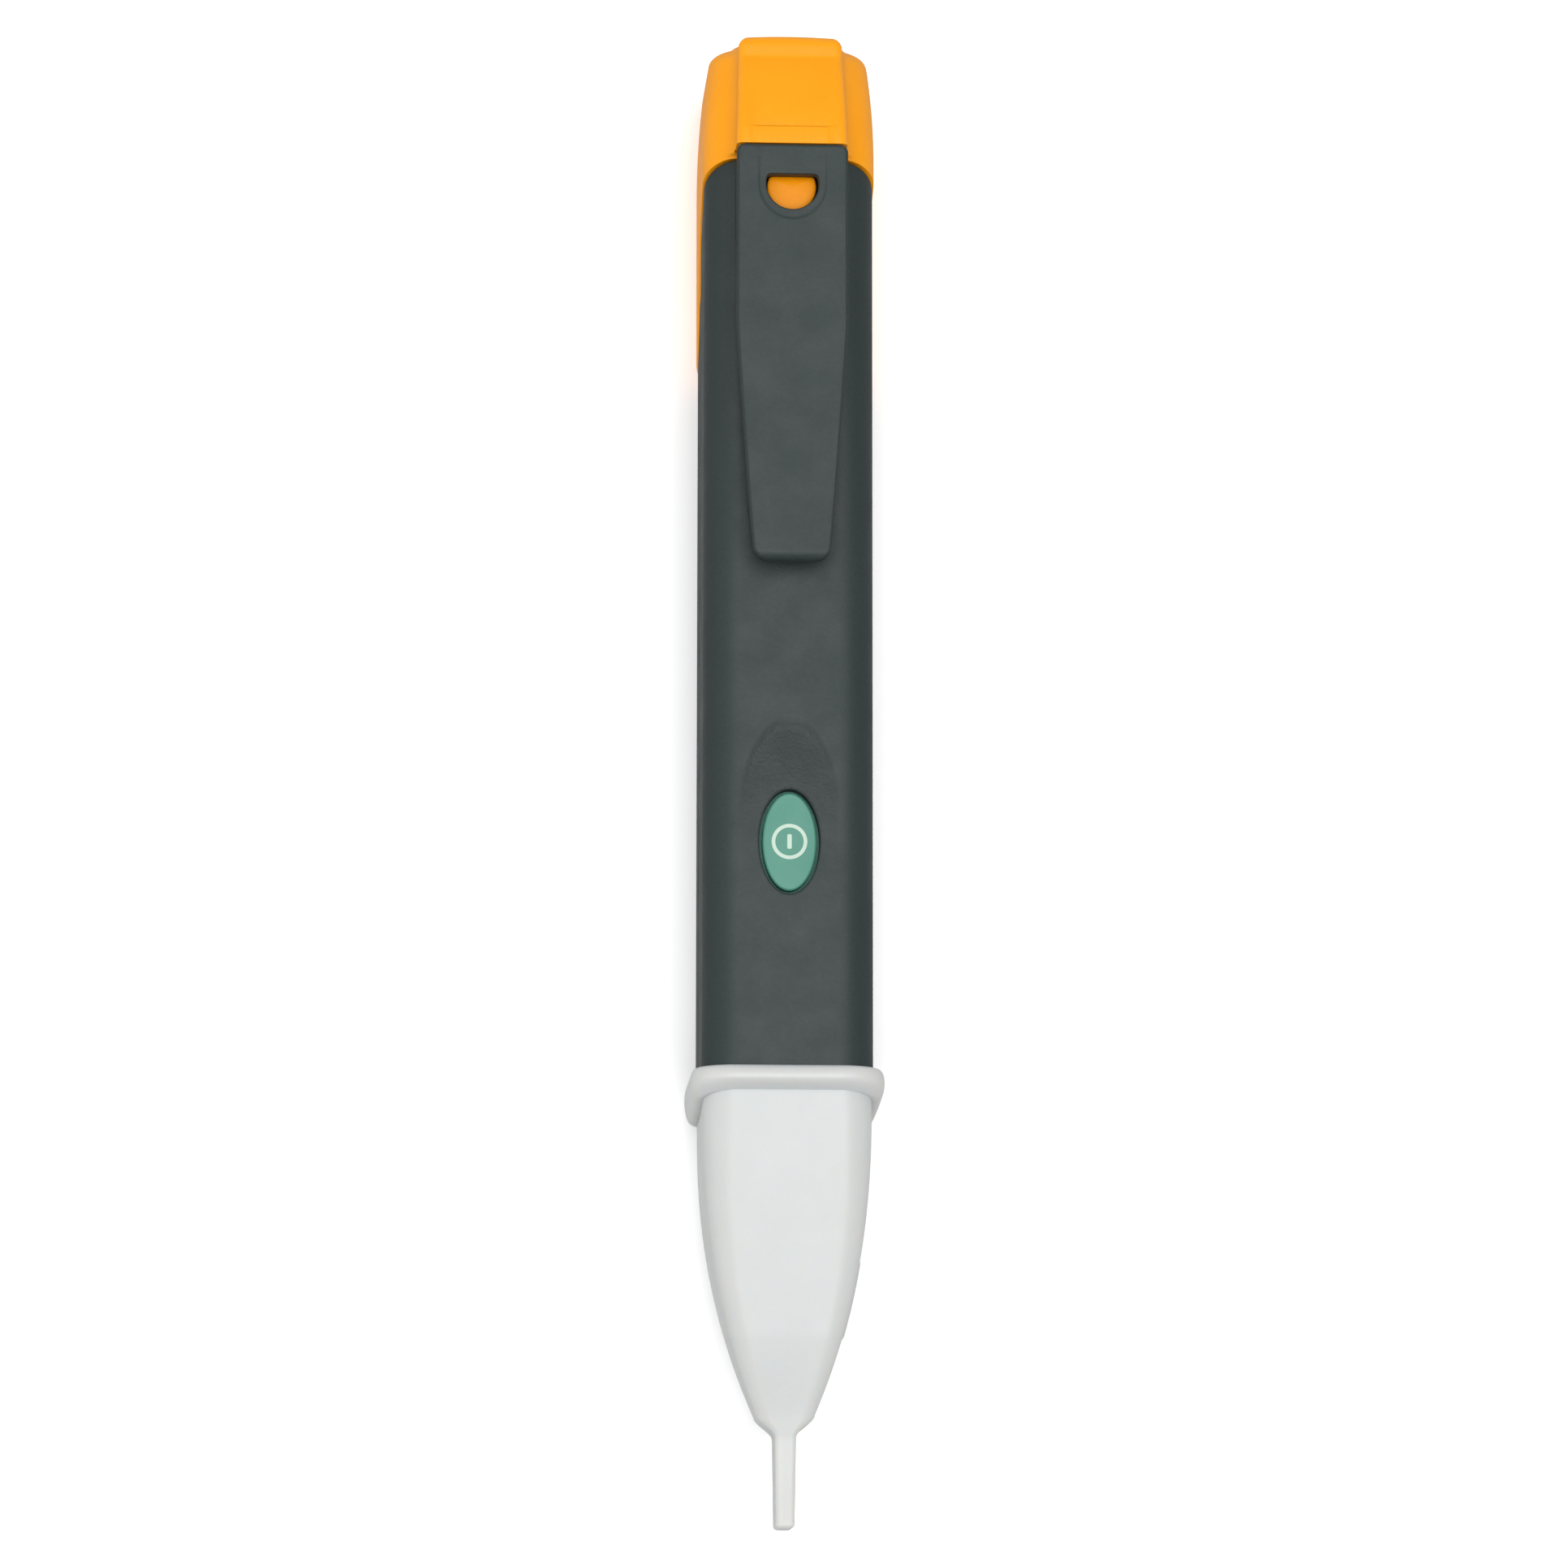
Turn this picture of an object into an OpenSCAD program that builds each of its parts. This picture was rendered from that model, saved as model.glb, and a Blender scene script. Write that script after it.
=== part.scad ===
// Non contact voltage tester, pen type.
// It lies on its back with the pocket clip up: +Y runs from the probe tip to the cap, +Z is up.
// The origin is under the middle of the pen, on the surface that it lies on.

/* [Overall] */
// Length from the end of the probe to the end of the cap
overall_length = 148; // [148:0.5:185]
// Width across the flat sides of the body
body_width = 16.8; // [16.6:0.1:21]
// Depth of the body from its back to its front face
body_depth = 20; // [19.8:0.1:24.5]
// Radius of the long corners of the body
body_corner = 3.4; // [2.2:0.1:4.4]
// Wall of the two body covers
wall = 1.6; // [1.3:0.05:1.9]
// Height of the joint between the two covers above the back of the body
cover_joint_height = 8.4; // [6:0.1:10]

/* [Probe tip] */
// Length of the white tip, from the end of the blade to the face that meets the body
tip_length = 44.6; // [37:0.1:45]
// Length of the flat blade
blade_length = 8.8; // [7:0.1:10.6]
// Width of the blade where it leaves the cone
blade_width = 2.1; // [1.95:0.05:2.8]
// Depth of the blade from front to back
blade_depth = 6; // [4.8:0.1:7.4]
// Height of the middle of the blade above the back of the body
blade_height = 11.2; // [9:0.1:12.5]
// Width of the cone just above the shoulders of the blade
shoulder_width = 5.8; // [4.8:0.1:6.8]
// Wall of the tip
tip_wall = 1.4; // [1.2:0.05:1.7]
// Thickness of the bead round the top of the tip, at the front
bead_height = 2.4; // [1.9:0.1:2.9]
// How far the bead stands out at the sides
bead_reach = 1.2; // [0.9:0.05:1.5]
// How far the bead stands out at the front
bead_front_reach = 0.9; // [0.7:0.05:1.1]
// How far the bead stands out at the back
bead_back_reach = 0.7; // [0.5:0.05:0.9]
// Length of the spigot that goes into the body
spigot_length = 3; // [2.5:0.1:3.2]

/* [End cap] */
// Length of the cap at the front
cap_front_length = 12.7; // [11:0.1:15]
// Length of the cap at the back
cap_back_length = 32.5; // [27:0.5:39]
// Wall of the cap
cap_wall = 1.6; // [1.4:0.05:1.9]
// Width of the raised band down the front of the cap
band_width = 11.2; // [9:0.1:13.2]
// Distance from the end of the cap to the end of the neck inside it
neck_from_end = 7.7; // [7.5:0.1:8]
// Thickness of the seal round the neck
seal_size = 0.9; // [0.75:0.05:1.1]

/* [Pocket clip] */
// Length of the clip
clip_length = 41.9; // [35:0.1:50]
// Width of the clip at the top
clip_width = 11; // [9:0.1:13.2]
// Width of the clip at its free end
clip_end_width = 7.4; // [6.2:0.1:8.9]
// Height of the clip's outer face above the front of the body
clip_rise = 4.3; // [4.3:0.1:5.2]
// Thickness of the clip
clip_thickness = 1.3; // [1.1:0.05:1.6]
// Length of the fixed part of the clip, above the bend
clip_root_length = 10.2; // [8.8:0.1:12.2]
// Radius of the round side of the window
window_radius = 2.6; // [2.2:0.05:2.9]

/* [Button] */
// Width of the button
button_width = 5.3; // [4.6:0.05:6.4]
// Length of the button
button_length = 9.65; // [8:0.05:11.6]
// Gap round the button
button_gap = 0.32; // [0.2:0.01:0.4]
// How far the button goes down
button_travel = 0.4; // [0.3:0.01:0.48]
// Distance from the tip's bead to the middle of the button
button_from_tip = 22; // [18:0.1:26]
// Depth of the thumb dish above the button
dish_depth = 0.8; // [0.6:0.05:1]
// Width of the thumb dish
dish_width = 9.2; // [7.6:0.1:11]

/* [Cells and board] */
// Diameter of one AAA cell
cell_diameter = 10.3; // [9.8:0.05:10.5]
// Length of one AAA cell with its contact stud
cell_length = 44.5; // [44:0.1:44.5]
// Thickness of the circuit board
board_thickness = 0.8; // [0.6:0.05:1]
// Width of the circuit board
board_width = 12; // [11:0.1:12.6]

/* [Hidden] */
$fn = 48;
eps = 0.01;

// Places along the pen
tip_y = -overall_length / 2;
cap_end_y = overall_length / 2;
bead_y = tip_y + tip_length;
joint_front_y = cap_end_y - cap_front_length;
joint_back_y = cap_end_y - cap_back_length;
neck_end_y = cap_end_y - neck_from_end;
blade_root_y = tip_y + blade_length;
button_y = bead_y + button_from_tip;
clip_top_y = joint_front_y + 0.4;
clip_bend_y = clip_top_y - clip_root_length;
clip_end_y = clip_top_y - clip_length;
window_y = clip_top_y - 4;
window_flat_y = window_y + 0.95;

// Heights
back_z = bead_back_reach;
front_z = back_z + body_depth;
split_z = back_z + cover_joint_height;
clip_z = front_z + clip_rise;
inner_front_z = front_z - wall;
inner_back_z = back_z + wall;
blade_z = back_z + blade_height;

// Spaces inside
inner_width = body_width - 2 * wall;
inner_corner = max(body_corner - wall, 0.6);
slip = 0.1;
sleeve_floor = 0.5;
cell_play = 0.15;
cell_z = inner_back_z + slip + sleeve_floor + cell_play + cell_diameter / 2;
board_z = cell_z + cell_diameter / 2 + 0.35;
board_top_z = board_z + board_thickness;
neck_side = cap_wall + 0.15;
neck_width = body_width - 2 * neck_side;
neck_back_z = back_z + neck_side;
neck_front_z = front_z - neck_side;
neck_corner = max(body_corner - neck_side, 0.8);
cell_end_y = neck_end_y - 0.9;
cell_mid_y = cell_end_y - cell_length - 0.1;
cell_front_y = cell_mid_y - cell_length;
carrier_thickness = 1.6;
carrier_y = cell_front_y - 0.5 - carrier_thickness;
board_cap_y = button_y + 28;
board_tip_y = bead_y - 13;

corner_steps = 6;
ellipse_steps = 60;

// ---------- shared shapes ----------

// Rounded rectangle centred on x, from the height low to the height high, with true round corners
module rounded(width, low, high, radius) {
    translate([-width / 2, low + radius]) square([width, high - low - 2 * radius]);
    translate([-width / 2 + radius, low]) square([width - 2 * radius, high - low]);
    for (side = [-1, 1], z = [low + radius, high - radius])
        translate([side * (width / 2 - radius), z]) circle(radius);
}

// A section in x and z, run along the pen between two places
module along(from_y, to_y) {
    translate([0, to_y, 0]) rotate([90, 0, 0]) linear_extrude(to_y - from_y) children();
}

// A side view in y and z, run across the pen
module across(width) {
    translate([-width / 2, 0, 0]) rotate([90, 0, 90]) linear_extrude(width) children();
}

// A front view in x and y, run up between two heights
module upright(from_z, to_z) {
    translate([0, 0, from_z]) linear_extrude(to_z - from_z) children();
}

// A round bar along the pen
module bar_y(from_y, to_y, radius, z) {
    translate([0, to_y, z]) rotate([90, 0, 0]) cylinder(h = to_y - from_y, r = radius);
}

module ellipse(width, length) {
    polygon([for (i = [0:ellipse_steps - 1]) let (a = 360 * i / ellipse_steps)
        [width / 2 * cos(a), length / 2 * sin(a)]]);
}

// How soon a leaning ring turns over at the front of the pen
lean_power = 2.5;
// One ring of a loft: a rounded rectangle at y, whose back end leans towards the tip
function ring(y, width, low, high, radius, lean = 0) = [
    for (c = [0:3], i = [0:corner_steps])
        let (a = 90 * (c + i / corner_steps),
            cx = (c == 0 || c == 3 ? 1 : -1) * (width / 2 - radius),
            cz = c < 2 ? high - radius : low + radius,
            z = cz + radius * sin(a))
        [cx + radius * cos(a), y - lean * (1 - pow(max(0, z - low) / (high - low), lean_power)), z]];

// A closed skin through rings that all have the same number of points
module loft(rings, towards_tip = false) {
    n = len(rings[0]);
    last = len(rings) - 1;
    sides = [for (k = [0:last - 1], i = [0:n - 1]) let (j = (i + 1) % n)
        [k * n + i, k * n + j, (k + 1) * n + j, (k + 1) * n + i]];
    ends = [[for (i = [n - 1:-1:0]) i], [for (i = [0:n - 1]) last * n + i]];
    faces = concat(sides, ends);
    flip = function (f) [for (i = [len(f) - 1:-1:0]) f[i]];
    polyhedron([for (r = rings) each r], towards_tip ? [for (f = faces) flip(f)] : faces, 4);
}

function bezier(a, b, c, d, t) = a * pow(1 - t, 3) + 3 * b * t * pow(1 - t, 2)
    + 3 * c * t * t * (1 - t) + d * pow(t, 3);

// Side view of the joint between the cap and the covers, from the back of the pen to the front.
// It rises slowly as far as its knee, and steeply from there. Places are shares of its length and
// of the body's depth.
joint_steps = 8;
joint_knee = [0.59, 0.445];
joint_parts = [[[0, 0], [0.15, 0.265], [0.38, 0.395], joint_knee],
    [joint_knee, [0.78, 0.49], [0.86, 0.78], [1, 1]]];
function joint_line(shift = 0) =
    [for (k = [0:1], i = [k:joint_steps]) let (part = joint_parts[k],
        p = bezier(part[0], part[1], part[2], part[3], i / joint_steps))
        [joint_back_y + (joint_front_y - joint_back_y) * p[0] + shift, back_z + body_depth * p[1]]];

// Everything on the tip side of that joint
module before_joint(shift = 0) {
    far = body_depth;
    across(3 * body_width) polygon(concat([[tip_y - far, -far]],
        [[joint_back_y + shift, -far]], joint_line(shift),
        [[joint_front_y + shift, clip_z + far], [tip_y - far, clip_z + far]]));
}

// ---------- covers ----------

module cover_tube() {
    difference() {
        intersection() {
            along(bead_y, joint_front_y) rounded(body_width, back_z, front_z, body_corner);
            before_joint(-slip);
        }
        along(bead_y - 1, joint_front_y + 1)
            rounded(inner_width, inner_back_z, inner_front_z, inner_corner);
    }
}

// Pointed outline of the thumb dish: two arcs that meet at the apex
dish_top_y = button_y + 12.7;
dish_low_y = button_y - 8;
module dish_outline() {
    arc = dish_width * 1.25;
    reach = sqrt(arc * arc - (arc - dish_width / 2) * (arc - dish_width / 2));
    intersection() {
        translate([arc - dish_width / 2, dish_top_y - reach]) circle(arc);
        translate([dish_width / 2 - arc, dish_top_y - reach]) circle(arc);
        translate([-dish_width, dish_low_y]) square([2 * dish_width, dish_top_y - dish_low_y]);
    }
    translate([-dish_width / 2, dish_low_y])
        square([dish_width, max(dish_top_y - reach - dish_low_y, eps)]);
}

// The dish is deepest at its apex and runs out towards the tip
module dish() {
    intersection() {
        upright(front_z - dish_depth - 1, front_z + 1) dish_outline();
        across(2 * dish_width) polygon([[dish_low_y, front_z], [dish_top_y + 1, front_z - dish_depth],
            [dish_top_y + 1, front_z + 2], [dish_low_y, front_z + 2]]);
    }
}

module front_cover() {
    color("#4b5250") difference() {
        intersection() {
            cover_tube();
            along(bead_y - 1, joint_front_y + 1) translate([-body_width, split_z])
                square([2 * body_width, body_depth]);
        }
        dish();
        translate([0, button_y, 0]) upright(inner_front_z - 1, front_z + 1)
            ellipse(button_width + 2 * button_gap, button_length + 2 * button_gap);
    }
    // Ribs that hold the board down
    color("#4b5250") for (y = [board_tip_y + 20, board_cap_y - 2], side = [-1, 1])
        translate([side * (board_width / 2 - 1) - 0.5, y, board_top_z + 0.05])
            cube([1, 1.2, inner_front_z - board_top_z]);
}

module rear_cover() {
    color("#484e4c") intersection() {
        cover_tube();
        along(bead_y - 1, joint_front_y + 1) translate([-body_width, back_z - 1])
            square([2 * body_width, split_z - back_z + 1]);
    }
}

// ---------- probe tip ----------

cone_top_y = bead_y - bead_height;
cone_length = cone_top_y - blade_root_y - 2.2;
cone_steps = 12;
cone_power = 2.4;
cone_width = body_width - 0.25;
bead_lean = 1.9;
blade_end_width = blade_width * 0.88;

// Width of the cone a share t of the way from the bead to the shoulders
function cone_w(t) = cone_width - (cone_width - shoulder_width) * pow(t, cone_power);
// Front and back heights of the cone at t
function cone_front(t) = front_z - 0.3 - (front_z - 0.3 - blade_z - blade_depth / 2 - 0.5) * pow(t, 1.7);
function cone_back(t) = back_z + 0.3 + (blade_z - blade_depth / 2 - 0.5 - back_z - 0.3) * pow(t, 1.9);
function cone_corner(t) = body_corner - (body_corner - 1.3) * t;

function cone_ring(t, grow = 0) = ring(cone_top_y - cone_length * t, cone_w(t) + 2 * grow,
    cone_back(t) - grow, cone_front(t) + grow, cone_corner(t) + grow, bead_lean * (1 - t) * (1 - t));

// The shoulders: an S-curve from the cone to the blade
shoulder_steps = 6;
function ease(t) = 3 * t * t - 2 * t * t * t;
function shoulder_ring(t) =
    ring(blade_root_y + 2.2 * (1 - t), shoulder_width + (blade_width - shoulder_width) * ease(t),
        blade_z - blade_depth / 2 - 0.5 * (1 - t), blade_z + blade_depth / 2 + 0.5 * (1 - t),
        1.3 + (0.5 - 1.3) * ease(t));

// The blade, with a rounded end
blade_round = 0.4;
blade_end_steps = 4;
function blade_ring(t) =
    ring(blade_root_y - (blade_length - blade_round) * t,
        blade_width + (blade_end_width - blade_width) * t,
        blade_z - blade_depth / 2, blade_z + blade_depth / 2, 0.5);
function blade_end_ring(a) =
    ring(tip_y + blade_round * (1 - sin(a)), blade_end_width - 2 * blade_round * (1 - cos(a)),
        blade_z - blade_depth / 2 + blade_round * (1 - cos(a)),
        blade_z + blade_depth / 2 - blade_round * (1 - cos(a)), 0.5 - 0.45 * sin(a));

// The bead: full at the sides and the back of the pen, softer at the front
bead_steps = 8;
function bead_ring(a) =
    let (out = pow(sin(a), 0.55), front_out = pow(sin(a), a < 90 ? 1.2 : 3), t = (1 - cos(a)) / 2)
    ring(bead_y - bead_height * t, body_width - 0.25 * t + 2 * bead_reach * out,
        back_z + 0.3 * max(0, 2 * t - 1) - bead_back_reach * out,
        front_z - 0.3 * max(0, 2 * t - 1) + bead_front_reach * front_out,
        body_corner + bead_front_reach * out, bead_lean * t);

// The hollow inside the tip, down to the slot in the blade
slot_width = 0.9;
slot_depth = blade_depth - 2 * 0.9;
spigot_width = inner_width - 2 * slip;
spigot_corner = max(inner_corner - slip, 0.5);
hollow_width = spigot_width - 2 * tip_wall;
hollow_corner = 1;
function hollow_ring(t) =
    let (low = cone_back(t) + tip_wall + 0.6, high = cone_front(t) - tip_wall - 0.3)
    ring(cone_top_y - cone_length * t, max(slot_width, min(hollow_width, cone_w(t) - 2 * tip_wall - 0.4)),
        max(low, inner_back_z + slip + tip_wall), min(high, inner_front_z - slip - tip_wall),
        slot_width / 2 - eps + (hollow_corner - slot_width / 2) * (1 - t));

module tip_skin() {
    rim = bead_y + spigot_length;
    low = inner_back_z + slip;
    high = inner_front_z - slip;
    slot = [for (y = [tip_y + 2.2, blade_root_y + 1.2])
        ring(y, slot_width, blade_z - slot_depth / 2, blade_z + slot_depth / 2, slot_width / 2 - eps)];
    hollow = [for (k = [cone_steps - 1:-1:0]) hollow_ring(k / cone_steps)];
    mouth = [ring(rim, hollow_width, low + tip_wall, high - tip_wall, hollow_corner),
        ring(rim, spigot_width, low, high, spigot_corner),
        ring(bead_y, spigot_width, low, high, spigot_corner)];
    bead = [for (k = [0:bead_steps]) bead_ring(180 * k / bead_steps)];
    cone = [for (k = [1:cone_steps]) cone_ring(k / cone_steps)];
    shoulder = [for (k = [1:shoulder_steps]) shoulder_ring(k / shoulder_steps)];
    blade = [blade_ring(1)];
    end = [for (k = [1:blade_end_steps]) blade_end_ring(85 * k / blade_end_steps)];
    loft(concat(slot, hollow, mouth, bead, cone, shoulder, blade, end), towards_tip = true);
}

// Plain raised pads on the two flat sides of the cone
pad_from = 0.5;
pad_to = 0.78;
pad_rise = 0.15;
module side_pads() {
    pad_steps = 4;
    intersection() {
        loft([for (k = [0:pad_steps]) cone_ring(pad_from + (pad_to - pad_from) * k / pad_steps, pad_rise)],
            towards_tip = true);
        union() for (side = [-1, 1]) translate([side * body_width / 2, 0, blade_z])
            rotate([90, 0, 0]) cylinder(h = 2 * overall_length, r = body_width / 4, center = true);
    }
}

gasket_y = bead_y + 0.8;
gasket_length = 1.2;
gasket_depth = 0.6;
module gasket_ring(extra) {
    difference() {
        along(gasket_y, gasket_y + gasket_length)
            rounded(spigot_width + extra, inner_back_z + slip - extra / 2,
                inner_front_z - slip + extra / 2, spigot_corner);
        along(gasket_y - 1, gasket_y + gasket_length + 1)
            rounded(spigot_width - 2 * gasket_depth, inner_back_z + slip + gasket_depth,
                inner_front_z - slip - gasket_depth, max(spigot_corner - gasket_depth, 0.4));
    }
}

module probe_tip() {
    color("#e4e8e8") difference() {
        tip_skin();
        gasket_ring(1);
    }
    color("#e4e8e8") difference() {
        side_pads();
        loft([for (k = [0:4]) cone_ring(pad_from - 0.02 + (pad_to - pad_from + 0.04) * k / 4, -0.3)],
            towards_tip = true);
    }
}

module tip_gasket() {
    color("#2b2b2b") gasket_ring(slip);
}

// ---------- inside the body ----------

sleeve_wall_x = inner_width / 2 - slip;
strip_width = 2.8;
strip_thickness = 0.3;
strip_x = -neck_width / 2 + 0.6;
strip_z = cell_z;

module battery_sleeve() {
    neck_start_y = joint_back_y - 3;
    color("#2f3335") difference() {
        union() {
            // Trough under the cells
            along(carrier_y, neck_start_y) translate([-sleeve_wall_x, inner_back_z + slip])
                square([2 * sleeve_wall_x, cell_z - inner_back_z - slip]);
            // Neck that the cap goes over
            along(neck_start_y, neck_end_y)
                rounded(neck_width, neck_back_z, neck_front_z, neck_corner);
        }
        bar_y(carrier_y + carrier_thickness, neck_end_y + 1, cell_diameter / 2 + cell_play, cell_z);
        // Corners that clear the round edges of the covers
        for (side = [-1, 1]) translate([side * sleeve_wall_x, 0, inner_back_z + slip])
            rotate([0, 45, 0]) cube([2 * inner_corner, 2 * overall_length, 2 * inner_corner * 0.7],
                center = true);
        // Step in front of the cells for their contact carrier
        translate([-body_width, carrier_y - 1, 0]) cube([2 * body_width, 1 + carrier_thickness, clip_z]);
        strip_space();
        seal_groove();
    }
}

// Groove round the neck for its seal
seal_y = neck_end_y - 3;
module seal_groove() {
    difference() {
        along(seal_y, seal_y + seal_size + 0.1)
            rounded(neck_width + 1, neck_back_z - 0.5, neck_front_z + 0.5, neck_corner + 0.5);
        along(seal_y - 1, seal_y + seal_size + 1) rounded(neck_width - seal_size,
            neck_back_z + seal_size / 2, neck_front_z - seal_size / 2,
            max(neck_corner - seal_size / 2, 0.4));
    }
}

// The seal lies in the groove and stops just short of the cap
module neck_seal() {
    color("#1f1f1f") difference() {
        along(seal_y + 0.05, seal_y + 0.05 + seal_size) rounded(neck_width + 0.1, neck_back_z - 0.05,
            neck_front_z + 0.05, neck_corner);
        along(seal_y - 1, seal_y + seal_size + 1) rounded(neck_width - seal_size,
            neck_back_z + seal_size / 2, neck_front_z - seal_size / 2,
            max(neck_corner - seal_size / 2, 0.4));
    }
}

// Slot in the sleeve's side for the return strip
module strip_space() {
    from_y = carrier_y + carrier_thickness;
    translate([strip_x - 0.05, from_y - 1, strip_z - strip_width / 2 - 0.1])
        cube([strip_thickness + 0.1, neck_end_y - from_y + 2, strip_width + 0.2]);
}

module return_strip() {
    from_y = carrier_y + carrier_thickness;
    color("#c9ccd0") translate([strip_x, from_y, strip_z - strip_width / 2])
        cube([strip_thickness, neck_end_y - from_y, strip_width]);
}

module circuit_board() {
    wide_y = bead_y + spigot_length + 0.6;
    color("#1f6b45") translate([0, 0, board_z]) linear_extrude(board_thickness) union() {
        translate([-board_width / 2, wide_y]) square([board_width, board_cap_y - wide_y]);
        translate([-board_width * 0.35, board_tip_y]) square([board_width * 0.7, wide_y - board_tip_y]);
    }
}

module chip(x, y, width, length, height) {
    translate([x - width / 2, y - length / 2, board_top_z]) cube([width, length, height]);
}

// Gull-wing legs along both sides of a chip
module legs(x, y, width, count, pitch) {
    for (side = [-1, 1], i = [0:count - 1])
        translate([x + side * (width / 2 + 0.35) - 0.35, y + (i - (count - 1) / 2) * pitch - 0.15,
            board_top_z]) cube([0.7, 0.3, 0.3]);
}

chip_y = button_y + 7.5;
module processor_chip() {
    color("#26282b") {
        chip(0, chip_y, 3.9, 4.9, 1.3);
        legs(0, chip_y, 3.9, 4, 1.2);
    }
}

amplifier_y = bead_y + 6;
module amplifier_chip() {
    color("#26282b") {
        chip(-1.5, amplifier_y, 1.8, 3, 1.1);
        legs(-1.5, amplifier_y, 1.8, 3, 0.95);
    }
}

module transistor() {
    color("#26282b") {
        chip(4, chip_y + 6, 1.4, 2.9, 1);
        legs(4, chip_y + 6, 1.4, 2, 1.9);
    }
}

module resistors() {
    color("#37393c") for (i = [0:4])
        chip(-4.6, chip_y - 3 + 2.2 * i, 0.8, 1.6, 0.5);
}

module capacitors() {
    color("#b58a5a") for (i = [0:3])
        chip(4.6, chip_y - 3.4 + 2 * i, 0.9, 1.5, 0.8);
    color("#b58a5a") chip(2.6, amplifier_y, 1.2, 2, 1.1);
}

buzzer_radius = 4.4;
buzzer_height = 2.8;
buzzer_y = board_cap_y - 8;
module buzzer_case() {
    color("#1d1e20") translate([0, buzzer_y, board_top_z]) difference() {
        cylinder(h = buzzer_height, r = buzzer_radius);
        translate([0, 0, 0.6]) cylinder(h = buzzer_height - 1.2, r = buzzer_radius - 0.6);
        cylinder(h = buzzer_height + 1, r = 0.9);
    }
}

module buzzer_disc() {
    color("#c7a24a") translate([0, buzzer_y, board_top_z + 1.2])
        cylinder(h = 0.3, r = buzzer_radius - 0.65);
}

led_radius = 1.5;
led_y = board_tip_y - 1.2;
led_z = board_top_z - board_thickness / 2;
module indicator_led() {
    color("#d94a3a") translate([0, led_y, led_z]) rotate([90, 0, 0]) {
        cylinder(h = 0.8, r = led_radius + 0.3);
        cylinder(h = 3, r = led_radius);
        translate([0, 0, 3]) sphere(led_radius);
    }
}

module led_leads() {
    color("#d0d3d6") for (side = [-1, 1])
        translate([side * 0.9 - 0.2, led_y, led_z + board_thickness / 2])
            cube([0.4, board_tip_y + 1.6 - led_y, 0.35]);
}

// Copper strip that runs from the board into the blade
antenna_thickness = 0.4;
module sense_antenna() {
    strip_low = blade_z - slot_depth / 2 + 0.3;
    strip_high = blade_z + slot_depth / 2 - 0.3;
    color("#b8703c") across(antenna_thickness) polygon([[tip_y + 2.6, strip_low],
        [tip_y + 2.6, strip_high], [blade_root_y + 3, strip_high], [board_tip_y - 7, board_z - 2.6],
        [board_tip_y + 1, board_z - 2.2], [board_tip_y + 5, board_z - 0.05],
        [board_tip_y + 7, board_z - 0.05], [board_tip_y + 7, board_z - 1.2],
        [board_tip_y + 2, board_z - 3.4], [board_tip_y - 6, strip_low + 0.3]]);
}

// ---------- switch and button ----------

switch_size = 4.6;
switch_height = 1.2;
plunger_radius = 0.9;
plunger_rise = 0.5;
cover_plate = 0.15;
plunger_top_z = board_top_z + switch_height + cover_plate + plunger_rise;
stem_gap = 0.17;

module switch_base() {
    color("#202224") translate([0, button_y, board_top_z]) difference() {
        translate([-switch_size / 2, -switch_size / 2, 0]) cube([switch_size, switch_size, switch_height]);
        translate([0, 0, 0.3]) cylinder(h = switch_height, r = plunger_radius + 0.35);
    }
}

module switch_cover() {
    color("#c4c8cb") translate([0, button_y, board_top_z + switch_height]) difference() {
        translate([-switch_size / 2, -switch_size / 2, 0]) cube([switch_size, switch_size, cover_plate]);
        translate([0, 0, -1]) cylinder(h = 3, r = plunger_radius + 0.1);
    }
}

module switch_plunger() {
    color("#6d4634") translate([0, button_y, 0]) {
        translate([0, 0, board_top_z + 0.75])
            cylinder(h = plunger_top_z - board_top_z - 0.75, r = plunger_radius);
        translate([0, 0, board_top_z + 0.75]) cylinder(h = 0.3, r = plunger_radius + 0.2);
    }
}

rim_gap = 0.12;
rim_thickness = 0.6;
rim_reach = 0.9;
rim_z = inner_front_z - rim_gap - rim_thickness;
button_face_z = front_z - 0.2;

module power_button() {
    color("#4f9e88") translate([0, button_y, 0]) {
        upright(rim_z, button_face_z) ellipse(button_width, button_length);
        upright(rim_z, rim_z + rim_thickness)
            ellipse(button_width + 2 * rim_reach, button_length + 2 * rim_reach);
        translate([0, 0, plunger_top_z + stem_gap])
            cylinder(h = rim_z - plunger_top_z, r = plunger_radius + 0.3);
    }
}

// Printed circle with a bar, the usual mark for a power button
icon_radius = 1.75;
icon_line = 0.36;
icon_height = 0.05;
module button_icon() {
    color("#e6efe9") translate([0, button_y, 0]) upright(button_face_z, button_face_z + icon_height) {
        difference() {
            circle(icon_radius);
            circle(icon_radius - icon_line);
        }
        translate([-icon_line / 2, -0.75]) square([icon_line, 1.5]);
    }
}

// Silicone sheet between the button and the board, with a hole for the button's stem
seal_gap = 0.25;
module button_seal() {
    seal_top_z = rim_z - button_travel - seal_gap;
    color("#3b3f42") translate([0, button_y, 0]) difference() {
        upright(seal_top_z - 0.4, seal_top_z)
            ellipse(button_width + 4 * rim_reach, button_length + 4 * rim_reach);
        upright(seal_top_z - 2, seal_top_z + 1) circle(plunger_radius + 0.6);
    }
}

// ---------- cells and contacts ----------

stud_radius = 1.9;
stud_length = 1;
module cell(from_y) {
    bar_y(from_y + stud_length, from_y + cell_length, cell_diameter / 2, cell_z);
    bar_y(from_y, from_y + stud_length + eps, stud_radius, cell_z);
}

module battery_near_tip() {
    color("#3d4f8c") cell(cell_front_y);
}

module battery_near_cap() {
    color("#3d4f8c") cell(cell_mid_y + 0.1);
}

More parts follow.
